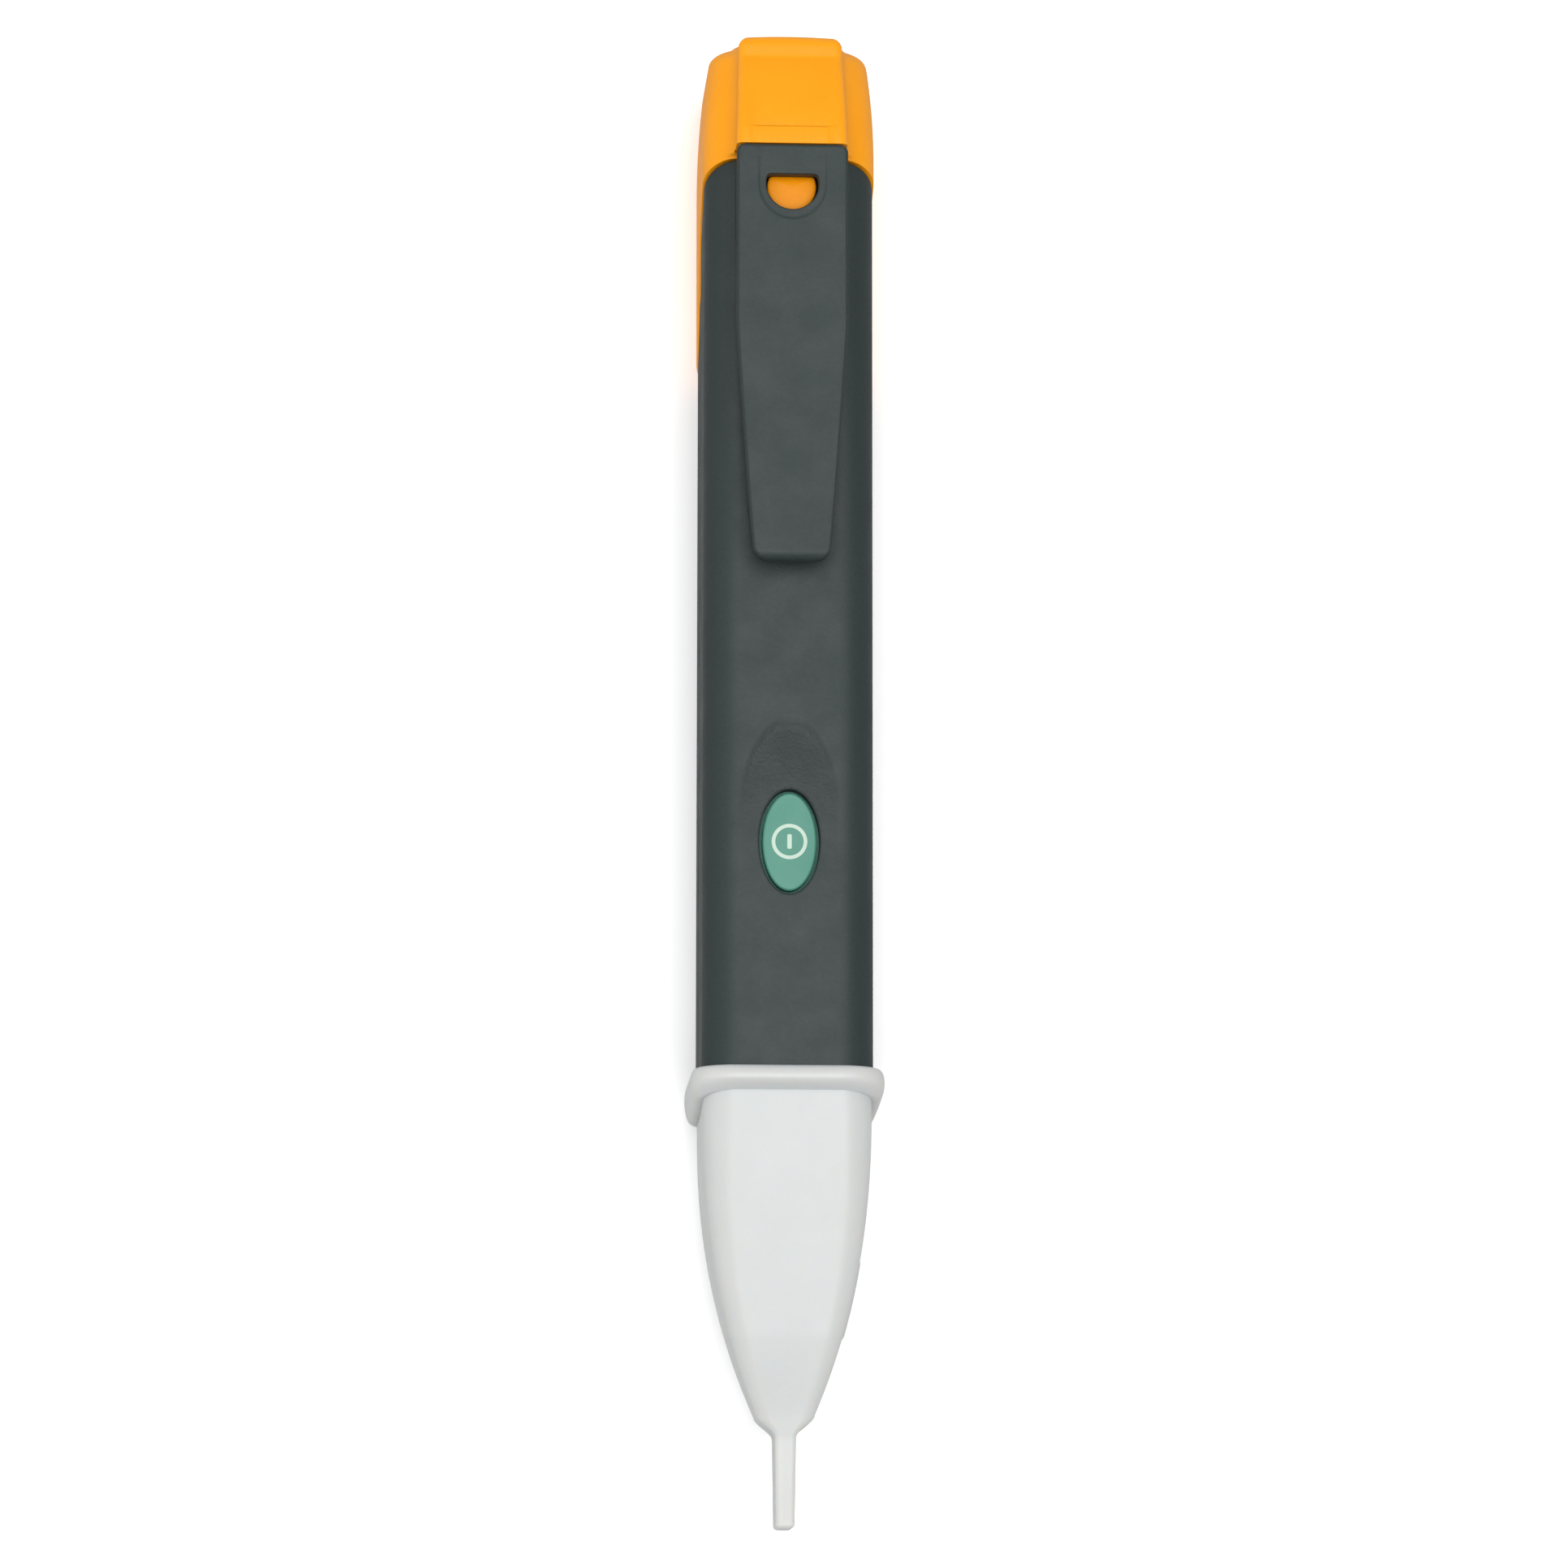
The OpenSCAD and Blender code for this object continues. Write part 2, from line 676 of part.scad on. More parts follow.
module contact_carrier() {
    color("#2f3335") difference() {
        translate([-sleeve_wall_x + 0.4, carrier_y, inner_back_z + slip + 0.8])
            cube([2 * sleeve_wall_x - 0.8, carrier_thickness, board_z - inner_back_z - slip - 0.9]);
        bar_y(carrier_y - 1, carrier_y + carrier_thickness + 1, 1.2, cell_z);
    }
}

module tip_contact() {
    color("#c9ccd0") {
        translate([-3.6, carrier_y + carrier_thickness, cell_z - 3.6]) cube([7.2, 0.4, 7.2]);
        bar_y(carrier_y - 0.8, carrier_y + carrier_thickness + eps, 0.9, cell_z);
    }
}

// ---------- pocket clip ----------

clip_under_z = clip_z - clip_thickness;
clip_leg = (clip_width - 2 * window_radius - 0.6) / 2;

// Width of the clip at y: straight at first, then tapered towards the free end
taper_y = clip_top_y - 18.3;
function clip_w(y) = y >= taper_y ? clip_width
    : clip_end_width + (clip_width - clip_end_width) * pow((y - clip_end_y) / (taper_y - clip_end_y), 0.86);

module window_shape(extra) {
    intersection() {
        translate([0, window_y]) circle(window_radius + extra);
        translate([-clip_width, window_y - clip_width])
            square([2 * clip_width, window_flat_y - window_y + clip_width + extra]);
    }
}

module clip_root() {
    color("#4b5250") difference() {
        union() {
            upright(clip_under_z, clip_z) translate([-clip_width / 2, clip_bend_y + 0.05])
                square([clip_width, clip_top_y - clip_bend_y - 0.05]);
            for (side = [-1, 1]) translate([side * (clip_width - clip_leg) / 2 - clip_leg / 2,
                clip_bend_y + 0.6, front_z])
                cube([clip_leg, joint_front_y - 0.3 - clip_bend_y - 0.6, clip_under_z - front_z]);
        }
        upright(front_z, clip_z + 1) window_shape(0);
        // Shallow recess round the window
        upright(clip_z - 0.12, clip_z + 1) {
            translate([0, window_y]) circle(window_radius + 1);
            translate([-window_radius - 1, window_y]) square([2 * window_radius + 2, 2.7]);
        }
    }
}

module clip_outline() {
    side_steps = 10;
    corner = 1.4;
    run = clip_bend_y - clip_end_y - corner;
    sides = [for (k = [0:side_steps]) let (y = clip_bend_y - run * k / side_steps)
        [clip_w(y) / 2, y]];
    corners = [for (a = [15:15:90])
        [clip_end_width / 2 - corner * (1 - cos(a)), clip_end_y + corner * (1 - sin(a))]];
    half = concat(sides, corners);
    polygon(concat(half, [for (k = [len(half) - 1:-1:0]) [-half[k][0], half[k][1]]]));
}

module clip_arm() {
    bump_y = clip_end_y + 5.5;
    bump_radius = 7;
    bump_drop = clip_under_z - front_z - 0.9;
    color("#4b5250") intersection() {
        upright(front_z, clip_z) clip_outline();
        union() {
            translate([-clip_width, clip_end_y - 1, clip_under_z])
                cube([2 * clip_width, clip_length, clip_thickness]);
            // Round rib under the free end that grips the pocket
            translate([0, bump_y, clip_under_z - bump_drop + bump_radius]) rotate([0, 90, 0])
                cylinder(h = 2 * clip_width, r = bump_radius, center = true, $fn = 64);
        }
        // Bevelled free end
        across(3 * clip_width) polygon([[clip_end_y, front_z], [clip_end_y, clip_z - 0.9],
            [clip_end_y + 0.9, clip_z], [clip_top_y, clip_z], [clip_top_y, front_z]]);
    }
}

// ---------- end cap ----------

cap_step = 0.15;
cap_heel = bead_back_reach;
cap_end_steps = 5;
cap_shoulder_z = front_z - 0.1;
cap_round = 3.2;

// Outer skin: straight over the neck, drawn in and rounded over at the end
function cap_ring(y) =
    let (t = max(0, (y - joint_front_y) / cap_front_length), heel = ease(min(1, max(0,
            (y - joint_back_y) / (cap_back_length * 0.6)))))
    ring(y, body_width + 2 * cap_step - 1.7 * t * t, back_z - cap_heel * heel + 0.6 * t * t,
        cap_shoulder_z - 2.6 * t * t, body_corner);
function cap_end_ring(a) =
    let (y = cap_end_y - 0.5 - cap_round * (1 - sin(a)), in = cap_round * (1 - cos(a)))
    ring(y, body_width + 2 * cap_step - 1.7 - 2 * in, back_z - cap_heel + 0.6 + in,
        cap_shoulder_z - 2.6 - in, body_corner - 0.45 * in);

module cap_skin() {
    skirt = [for (k = [0:5]) cap_ring(joint_back_y - 0.5 + (joint_front_y - joint_back_y) * k / 5)];
    head = [for (k = [1:4]) cap_ring(joint_front_y + (cap_front_length - cap_round - 0.5) * k / 4)];
    end = [for (k = [1:cap_end_steps]) cap_end_ring(90 * k / cap_end_steps)];
    loft(concat(skirt, head, end));
}

// Raised band down the front: level with the clip at the joint, lower at the end
band_start_y = clip_top_y + 0.15;
band_round = 2.4;
function band_top(t) = clip_z - 0.35 - 3.6 * pow(t, 1.6);
function band_ring(y, t, in) = ring(y, band_width - 0.6 * t - 1.4 * in, front_z - 8,
    band_top(t) - in, 1.1);
module cap_band() {
    straight = cap_end_y - band_round - band_start_y;
    run = [for (k = [0:6]) band_ring(band_start_y + straight * k / 6, k / 6, 0)];
    end = [for (k = [1:5]) let (a = 90 * k / 5)
        band_ring(cap_end_y - band_round * (1 - sin(a)), 1, band_round * (1 - cos(a)))];
    loft(concat(run, end));
}

// Thumb scoop across the band, which ends in a small step
scoop_y = band_start_y + 1.7;
module cap_scoop() {
    scoop_width = 7.6;
    intersection() {
        translate([-scoop_width / 2, scoop_y, front_z]) cube([scoop_width, 7, clip_rise + 1]);
        translate([0, scoop_y + 1.2, clip_z + 18.9]) rotate([0, 90, 0])
            cylinder(h = 2 * scoop_width, r = 20, center = true, $fn = 96);
    }
}

tongue_width = 3.6;
tongue_low_z = clip_under_z - 1.75;
tongue_high_z = clip_under_z - 0.75;
tab_travel = 0.8;

pocket_end_y = cap_end_y - 2.6;
finger_room = 0.3;

module end_cap() {
    color("#ffa726") difference() {
        union() {
            cap_skin();
            cap_band();
        }
        before_joint(slip);
        // The space under the clip's top edge
        translate([-band_width, joint_back_y, front_z - 0.4])
            cube([2 * band_width, band_start_y - joint_back_y, clip_rise * 2]);
        // Room for the neck and the last cell
        along(joint_back_y - 2, neck_end_y + 0.3) rounded(neck_width + 0.3, neck_back_z - 0.15,
            neck_front_z + 0.15, neck_corner + 0.15);
        // Pocket for the contact and its spring
        along(neck_end_y, pocket_end_y) translate([0, cell_z]) circle(cell_diameter / 2 + 0.1);
        // Recess for the contact's finger, beside the cell
        translate([strip_x - finger_room, neck_end_y, cell_z - strip_width / 2])
            cube([finger_room + cell_diameter / 2, pocket_end_y - neck_end_y, strip_width]);
        // Slot for the release tab's tongue, with room to press it
        translate([-tongue_width / 2 - 0.2, band_start_y - 1, tongue_low_z - tab_travel - 0.2])
            cube([tongue_width + 0.4, 6.2, tongue_high_z - tongue_low_z + tab_travel + 0.4]);
        cap_scoop();
    }
}

module cap_contact() {
    finger_gap = 0.15;
    finger_width = strip_width - 0.8;
    plate = 0.4;
    color("#c9ccd0") {
        bar_y(pocket_end_y - plate, pocket_end_y, cell_diameter / 2, cell_z);
        // Finger that reaches down to the return strip, and the arm that joins it to the plate
        translate([strip_x, neck_end_y + finger_gap, cell_z - finger_width / 2])
            cube([strip_thickness, pocket_end_y - neck_end_y - finger_gap, finger_width]);
        translate([strip_x, pocket_end_y - plate, cell_z - finger_width / 2])
            cube([-strip_x - cell_diameter / 4, plate, finger_width]);
    }
}

// Conical coil spring between the cap's contact and the last cell
spring_turns = 4;
wire_radius = 0.3;
module cap_spring() {
    from_y = cap_end_y - 3 - wire_radius;
    to_y = cell_end_y + 0.15 + wire_radius;
    per_turn = 18;
    wire_sides = 8;
    steps = spring_turns * per_turn;
    rings = [for (k = [0:steps]) let (a = 360 * k / per_turn, t = k / steps,
            radius = cell_diameter / 2 - 1 - 1.9 * t, y = from_y + (to_y - from_y) * ease(t))
        [for (i = [0:wire_sides - 1]) let (b = 360 * i / wire_sides, r = radius + wire_radius * cos(b))
            [r * cos(a), y - wire_radius * sin(b), cell_z + r * sin(a)]]];
    color("#c9ccd0") loft(rings, towards_tip = true);
}

// Tab under the clip's window, on a tongue that comes out of the cap
module release_tab() {
    tab_gap = 0.2;
    dome_radius = 12;
    color("#f09a1d") {
        intersection() {
            upright(tongue_low_z, clip_under_z - 0.2) window_shape(-tab_gap);
            translate([0, window_y, clip_under_z - 0.2 - dome_radius]) sphere(dome_radius, $fn = 96);
        }
        translate([-tongue_width / 2, window_y, tongue_low_z])
            cube([tongue_width, band_start_y + 4 - window_y, tongue_high_z - tongue_low_z]);
    }
}

front_cover();
rear_cover();
probe_tip();
tip_gasket();
battery_sleeve();
circuit_board();
processor_chip();
amplifier_chip();
transistor();
resistors();
capacitors();
buzzer_case();
buzzer_disc();
indicator_led();
led_leads();
sense_antenna();
switch_base();
switch_cover();
switch_plunger();
button_seal();
power_button();
button_icon();
battery_near_tip();
battery_near_cap();
tip_contact();
contact_carrier();
return_strip();
clip_root();
clip_arm();
end_cap();
cap_contact();
cap_spring();
neck_seal();
release_tab();
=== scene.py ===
"""Looks of the non contact voltage tester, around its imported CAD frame.

The pen lies on its back: +Y runs from the probe tip to the cap, +Z is up, towards the pocket clip.
Shapes are worked out in millimetres from the boxes of the CAD nodes, and stored in metres.
"""

import math

import bmesh
import bpy
import numpy as np
from mathutils import Matrix, Vector


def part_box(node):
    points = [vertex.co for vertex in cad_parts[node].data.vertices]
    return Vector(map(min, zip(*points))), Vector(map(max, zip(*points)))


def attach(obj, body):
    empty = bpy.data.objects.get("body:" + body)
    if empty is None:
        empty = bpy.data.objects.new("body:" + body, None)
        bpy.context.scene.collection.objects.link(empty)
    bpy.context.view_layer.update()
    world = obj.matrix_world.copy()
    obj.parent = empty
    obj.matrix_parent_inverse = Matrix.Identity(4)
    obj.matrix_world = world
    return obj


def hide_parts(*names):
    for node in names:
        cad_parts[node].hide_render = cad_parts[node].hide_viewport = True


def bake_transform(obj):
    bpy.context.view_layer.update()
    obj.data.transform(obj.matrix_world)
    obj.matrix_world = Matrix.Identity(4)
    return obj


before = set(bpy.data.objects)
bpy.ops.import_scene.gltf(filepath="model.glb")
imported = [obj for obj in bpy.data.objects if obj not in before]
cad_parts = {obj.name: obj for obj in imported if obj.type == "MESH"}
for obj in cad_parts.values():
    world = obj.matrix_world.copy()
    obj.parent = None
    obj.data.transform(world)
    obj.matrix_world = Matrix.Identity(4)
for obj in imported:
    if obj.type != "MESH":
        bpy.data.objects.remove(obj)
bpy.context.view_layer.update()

MM = 0.001
SHARP_DEG = 38
WELD_MM = 0.004


# ---------------------------------------------------------------- places, from the CAD frame


def corners(node):
    """Lowest and highest corner of a CAD node, in millimetres."""
    low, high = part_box(node)
    return np.array(low) / MM, np.array(high) / MM


front_low, front_high = corners("front_cover")
rear_low = corners("rear_cover")[0]
tip_low, tip_high = corners("probe_tip")
cap_low, cap_high = corners("end_cap")
root_low, root_high = corners("clip_root")
arm_low, arm_high = corners("clip_arm")
tab_low, tab_high = corners("release_tab")
button_low, button_high = corners("power_button")
icon_low, icon_high = corners("button_icon")
neck_high = corners("battery_sleeve")[1]
contact_high = corners("cap_contact")[1]
seal_low, seal_high = corners("neck_seal")
gasket_low, gasket_high = corners("tip_gasket")
cell_low, cell_high = corners("battery_near_cap")

HALF = front_high[0]
FRONT_Z, BACK_Z, SPLIT_Z = front_high[2], rear_low[2], front_low[2]
DEPTH = FRONT_Z - BACK_Z
CORNER = 3.4
WALL = 1.6
SLIP = 0.1
TAB_GAP = 0.2
BLADE_OVER_BACK = 11.2
BEAD_Y = front_low[1]
JOINT_FRONT_Y = front_high[1] + SLIP
JOINT_BACK_Y = cap_low[1] - SLIP
CLIP_Z = root_high[2]
CLIP_THICK = arm_high[2] - tab_high[2] - TAB_GAP
CLIP_TOP_Y, CLIP_END_Y = root_high[1], arm_low[1]
BEND_Y = (root_low[1] + arm_high[1]) / 2
BUTTON_Y = (button_low[1] + button_high[1]) / 2
CAP_END_Y, TIP_Y = cap_high[1], tip_low[1]
BLADE_MID_Z = BACK_Z + BLADE_OVER_BACK
CELL_Z = (cell_low[2] + cell_high[2]) / 2
CELL_R = (cell_high[2] - cell_low[2]) / 2


# ---------------------------------------------------------------- curves and meshes


def ease(t):
    """0 to 1 with flat ends."""
    t = np.clip(t, 0, 1)
    return t * t * (3 - 2 * t)


def spread(*stops):
    """Values from stop to stop: spread(a, n, b, m, c) takes n steps from a to b, then m to c."""
    values = [np.array([stops[0]], float)]
    for k in range(1, len(stops), 2):
        values.append(np.linspace(stops[k - 1], stops[k + 1], stops[k] + 1)[1:])
    return np.concatenate(values)


class Skin:
    """Collects patches of quads in millimetres and welds them into one mesh in metres."""

    def __init__(self):
        self.points, self.faces, self.grain, self.count = [], [], [], 0

    def grid(self, points, wrap=False, grain=0.0):
        """A patch of rows and columns; wrap joins the last column to the first.

        grain is kept at each point, for the material to read; inside the thumb dish it gives coarser
        grain and painted shade.
        """
        rows, cols = points.shape[:2]
        index = self.count + np.arange(rows * cols).reshape(rows, cols)
        here = index if wrap else index[:, :-1]
        right = np.roll(index, -1, axis=1) if wrap else index[:, 1:]
        quads = np.stack([here[:-1], right[:-1], right[1:], here[1:]], axis=-1)
        self.points.append(points.reshape(-1, 3))
        self.grain.append(np.broadcast_to(grain, (rows, cols)).reshape(-1))
        self.faces.extend(quads.reshape(-1, 4).tolist())
        self.count += rows * cols

    def close(self, ring, middle=None, rings=4):
        """Fills a closed ring of points with shrinking rings, down to one point."""
        middle = ring.mean(axis=0) if middle is None else np.array(middle)
        share = np.linspace(0, 1, rings + 1)[:, None, None]
        self.grid(ring[None] * (1 - share) + middle * share, wrap=True)

    def around(self, points, rows, cols, grain=None):
        """A patch without the block that spans these two rows and these two columns."""
        grain = np.zeros(points.shape[:2]) if grain is None else grain
        (start, stop), (first, last) = rows, cols
        beside = slice(start, stop + 1)
        for down, across in ((slice(0, start + 1), slice(None)), (slice(stop, None), slice(None)),
                (beside, slice(0, first + 1)), (beside, slice(last, None))):
            self.grid(points[down, across], grain=grain[down, across])

    def rim(self, outer, inner):
        """Joins the four borders of two patches of the same size."""
        for border in (0, -1):
            self.grid(np.stack([outer[border], inner[border]]))
            self.grid(np.stack([outer[:, border], inner[:, border]]))

    def make(self, name, smooth=SHARP_DEG):
        mesh = bpy.data.meshes.new(name)
        mesh.from_pydata((np.concatenate(self.points) * MM).tolist(), [], self.faces)
        layer = mesh.attributes.new("grain", "FLOAT", "POINT")
        layer.data.foreach_set("value", np.concatenate(self.grain).astype(np.float32))
        bm = bmesh.new()
        bm.from_mesh(mesh)
        bmesh.ops.remove_doubles(bm, verts=bm.verts, dist=WELD_MM * MM)
        bmesh.ops.dissolve_degenerate(bm, edges=bm.edges, dist=WELD_MM * MM / 4)
        bmesh.ops.recalc_face_normals(bm, faces=bm.faces)
        bm.to_mesh(mesh)
        bm.free()
        mesh.polygons.foreach_set("use_smooth", [True] * len(mesh.polygons))
        mesh.set_sharp_from_angle(angle=math.radians(smooth))
        piece = bpy.data.objects.new(name, mesh)
        bpy.context.scene.collection.objects.link(piece)
        return piece


def ogrid(outline, edge, shares):
    """Rings between a hole's outline (shares 0) and the edge of a block of points (shares 1)."""
    shares = np.asarray(shares)[:, None, None]
    return outline[None] * (1 - shares) + edge[None] * shares


def block_edge(xs, ys):
    """The points round a rectangular block of a grid, in order, as x and y."""
    low = np.stack([xs, np.full(len(xs), ys[0])], axis=1)
    right = np.stack([np.full(len(ys), xs[-1]), ys], axis=1)
    high = np.stack([xs[::-1], np.full(len(xs), ys[-1])], axis=1)
    left = np.stack([np.full(len(ys), xs[0]), ys[::-1]], axis=1)
    return np.concatenate([low[:-1], right[:-1], high[:-1], left[:-1]])


def squircle(phi, power):
    """Reach at each angle of a square with rounded corners, whose half side is 1."""
    return (np.abs(np.cos(phi)) ** power + np.abs(np.sin(phi)) ** power) ** (-1 / power)


def rounded_box(x, z, half, low, high, radius):
    """Signed distance to a rounded rectangle that is centred on x."""
    dx = np.abs(x) - (half - radius)
    dz = np.abs(z - (low + high) / 2) - ((high - low) / 2 - radius)
    outside = np.hypot(np.maximum(dx, 0), np.maximum(dz, 0))
    return outside + np.minimum(np.maximum(dx, dz), 0) - radius


def blend_union(a, b, size):
    """Joins two signed distances with a fillet."""
    h = np.clip(0.5 + 0.5 * (b - a) / size, 0, 1)
    return b * (1 - h) + a * h - size * h * (1 - h)


CONTOUR_REACH = 16.0
CONTOUR_HALVINGS = 34


def contour(distance, angles, middle_z):
    """Radius at each angle where a signed distance changes sign, by halving."""
    low, high = np.zeros_like(angles), np.full_like(angles, CONTOUR_REACH)
    for _ in range(CONTOUR_HALVINGS):
        mid = (low + high) / 2
        inside = distance(mid * np.cos(angles), middle_z + mid * np.sin(angles)) < 0
        low, high = np.where(inside, mid, low), np.where(inside, high, mid)
    return low


# ---------------------------------------------------------------- covers

# The joint of cap and covers, as shares of its length and of the body's depth
JOINT_PARTS = np.array([
    [[0, 0], [0.15, 0.265], [0.38, 0.395], [0.59, 0.445]],
    [[0.59, 0.445], [0.78, 0.49], [0.86, 0.78], [1, 1]]])


def bezier(points, steps=80):
    """Points along a cubic curve."""
    t = np.linspace(0, 1, steps)[:, None]
    a, b, c, d = points
    return a * (1 - t) ** 3 + 3 * b * t * (1 - t) ** 2 + 3 * c * t * t * (1 - t) + d * t**3


JOINT_CURVE = np.concatenate([bezier(part)[1:] for part in JOINT_PARTS])


def joint_y(z):
    """Where the joint of cap and covers is at a height: a slow rise, a knee and a steep rise."""
    share = np.interp((z - BACK_Z) / DEPTH, JOINT_CURVE[:, 1], JOINT_CURVE[:, 0])
    return JOINT_BACK_Y + (JOINT_FRONT_Y - JOINT_BACK_Y) * share


CROWN = 0.28


def crown(x):
    """How far the front and the back fall away from their middle lines."""
    return CROWN * (x / HALF) ** 2


DISH_OVER_BUTTON = 12.7
DISH_TOP_Y = BUTTON_Y + DISH_OVER_BUTTON
DISH_DEPTH = 0.38
DISH_LONG = 11.0
DISH_HALF = 5.1
DISH_RUN = 14.5
DISH_EDGE = 0.8
DISH_POINT = 0.04


def dish(x, y):
    """Depth of the thumb dish, and how far a point is inside it, from 0 to 1, which the material reads
    as coarser grain and painted shade.
    """
    below = DISH_TOP_Y - y
    # The outline is half an ellipse, drawn out to a small point at the top
    across = np.sqrt((x / DISH_HALF) ** 2 + DISH_POINT**2) - DISH_POINT
    up = np.clip(1 - below / DISH_LONG, 0, None)
    inside = (1 - np.hypot(across, up)) * DISH_HALF
    share = ease(inside / DISH_EDGE) * (below > 0)
    run = np.clip(1 - below / DISH_RUN, 0, 1)
    return DISH_DEPTH * share * run**1.5, share * ease(run * 1.6)


BUTTON_A, BUTTON_B = 5.3 / 2, 9.65 / 2
BUTTON_GAP = 0.32
HOLE_A, HOLE_B = BUTTON_A + BUTTON_GAP, BUTTON_B + BUTTON_GAP
HOLE_ROUND = 0.22
HOLE_BLOCK_X, HOLE_BLOCK_Y = 4.1, 6.5


def section(z_from, points_side, points_corner, front_xs, top):
    """Half shell section as x, z and outward normal, from the left seam to the right one.

    top is True for the front cover, whose middle is FRONT_Z, and False for the rear cover.
    """
    sign, face = (1, FRONT_Z) if top else (-1, BACK_Z)
    side_z = np.linspace(z_from, face - sign * CORNER, points_side)[:-1]
    angle = np.linspace(0, np.pi / 2, points_corner)[:-1]
    xs = [np.full(len(side_z), HALF), HALF - CORNER + CORNER * np.cos(angle)]
    zs = [side_z, face - sign * CORNER + sign * CORNER * np.sin(angle)]
    nx = [np.ones(len(side_z)), np.cos(angle)]
    nz = [np.zeros(len(side_z)), sign * np.sin(angle)]
    x, z, nx, nz = (np.concatenate(v) for v in (xs, zs, nx, nz))
    flat = np.full(len(front_xs), float(face))
    x = np.concatenate([-x, front_xs, x[::-1]])
    z = np.concatenate([z, flat, z[::-1]])
    nx = np.concatenate([-nx, front_xs * 0, nx[::-1]])
    nz = np.concatenate([nz, front_xs * 0 + sign, nz[::-1]])
    return x, z - sign * crown(x) * (np.abs(nz) > 0), nx, nz


EDGE_ROUND, EDGE_IN = 0.2, 0.06
SEAM = 0.12


def shell_rows(y_rows, x, z, nx, nz, inset):
    """Points of a shell at an inset from its outside, whose last rows follow the joint."""
    end = joint_y(z) - 2 * SLIP
    straight, stretched = y_rows
    ys = np.concatenate([np.repeat(straight[:, None], len(x), axis=1),
        straight[-1] + (end - straight[-1])[None] * stretched[1:, None]])
    px = np.broadcast_to(x - nx * inset, ys.shape)
    pz = np.broadcast_to(z - nz * inset, ys.shape)
    return np.stack([px, ys, pz], axis=-1)


def soften_edges(outer, nx, nz):
    """Rounds a shell's edge at the joint with the cap, and chamfers its two edges at the seam."""
    outer[-1, :, 0] -= nx * EDGE_IN
    outer[-1, :, 2] -= nz * EDGE_IN
    outer[-2, :, 1] = outer[-1, :, 1] - EDGE_ROUND
    outer[:, 0, 0] += SEAM
    outer[:, -1, 0] -= SEAM


def make_front_shell():
    inner_xs = spread(-HOLE_BLOCK_X, 64, HOLE_BLOCK_X)
    edge_x = HALF - CORNER
    front_xs = np.concatenate([spread(-edge_x, 9, -HOLE_BLOCK_X)[:-1], inner_xs,
        spread(HOLE_BLOCK_X, 9, edge_x)[1:]])
    x, z, nx, nz = section(SPLIT_Z + SLIP / 2, 9, 11, front_xs, True)
    first = np.argmin(np.abs(x + HOLE_BLOCK_X) + 99 * (nz < 1))
    last = first + len(inner_xs) - 1
    low_y, high_y = BUTTON_Y - HOLE_BLOCK_Y, BUTTON_Y + HOLE_BLOCK_Y
    straight = spread(BEAD_Y, 14, low_y, 60, high_y, 80, DISH_TOP_Y + 0.8, 34, JOINT_BACK_Y)
    stretched = np.linspace(0, 1, 22)
    start, stop = np.argmin(np.abs(straight - low_y)), np.argmin(np.abs(straight - high_y))

    outer = shell_rows((straight, stretched), x, z, nx, nz, 0)
    inner = shell_rows((straight, stretched), x, z, nx, nz, WALL)
    # The dish's share is kept as grain: coarser grain and painted shade in the dark material
    depth, grain = dish(outer[..., 0], outer[..., 1])
    front_face = nz > 0.9
    outer[..., 2] -= depth * front_face
    soften_edges(outer, nx, nz)

    skin = Skin()
    skin.around(outer, (start, stop), (first, last), grain * front_face)
    skin.around(inner, (start, stop), (first, last))
    skin.rim(outer, inner)
    # Rings round the button's hole, its rounded edge and its wall
    edge = block_edge(x[first:last + 1], straight[start:stop + 1])
    phi = np.arctan2((edge[:, 1] - BUTTON_Y) / HOLE_B, edge[:, 0] / HOLE_A)
    unit = np.stack([HOLE_A * np.cos(phi), BUTTON_Y + HOLE_B * np.sin(phi)], axis=1)
    normal = np.stack([np.cos(phi) / HOLE_A, np.sin(phi) / HOLE_B], axis=1)
    normal /= np.linalg.norm(normal, axis=1)[:, None]
    lip = unit + normal * HOLE_ROUND
    flat = ogrid(lip, edge, np.linspace(0, 1, 15) ** 1.4)

    def on_front(xy, drop=0.0):
        depth, grain = dish(xy[..., 0], xy[..., 1])
        height = FRONT_Z - crown(xy[..., 0]) - depth - drop
        return np.concatenate([xy, height[..., None]], axis=-1), grain

    points, grain = on_front(flat)
    skin.grid(points, wrap=True, grain=grain)
    turn = np.linspace(0, np.pi / 2, 5)
    fillet = [on_front(unit + normal * HOLE_ROUND * (1 - np.sin(a)), HOLE_ROUND * (1 - np.cos(a)))[0]
        for a in turn]
    floor_z = FRONT_Z - WALL
    bottom = np.concatenate([unit, floor_z - crown(unit[:, :1])], axis=1)
    wall = [fillet[-1] * (1 - t) + bottom * t for t in np.linspace(0, 1, 5)]
    skin.grid(np.stack(fillet), wrap=True)
    skin.grid(np.stack(wall), wrap=True)
    under = ogrid(unit, edge, np.linspace(0, 1, 8))
    skin.grid(np.concatenate([under, floor_z - crown(under[..., :1])], axis=-1), wrap=True)
    return skin.make("front_shell")


def make_rear_shell():
    front_xs = spread(-(HALF - CORNER), 16, HALF - CORNER)
    x, z, nx, nz = section(SPLIT_Z - SLIP / 2, 7, 11, front_xs, False)
    straight = spread(BEAD_Y, 40, JOINT_BACK_Y - 4)
    stretched = np.linspace(0, 1, 18)
    outer = shell_rows((straight, stretched), x, z, nx, nz, 0)
    inner = shell_rows((straight, stretched), x, z, nx, nz, WALL)
    soften_edges(outer, nx, nz)
    skin = Skin()
    skin.grid(outer)
    skin.grid(inner)
    skin.rim(outer, inner)
    return skin.make("rear_shell")


# ---------------------------------------------------------------- end cap

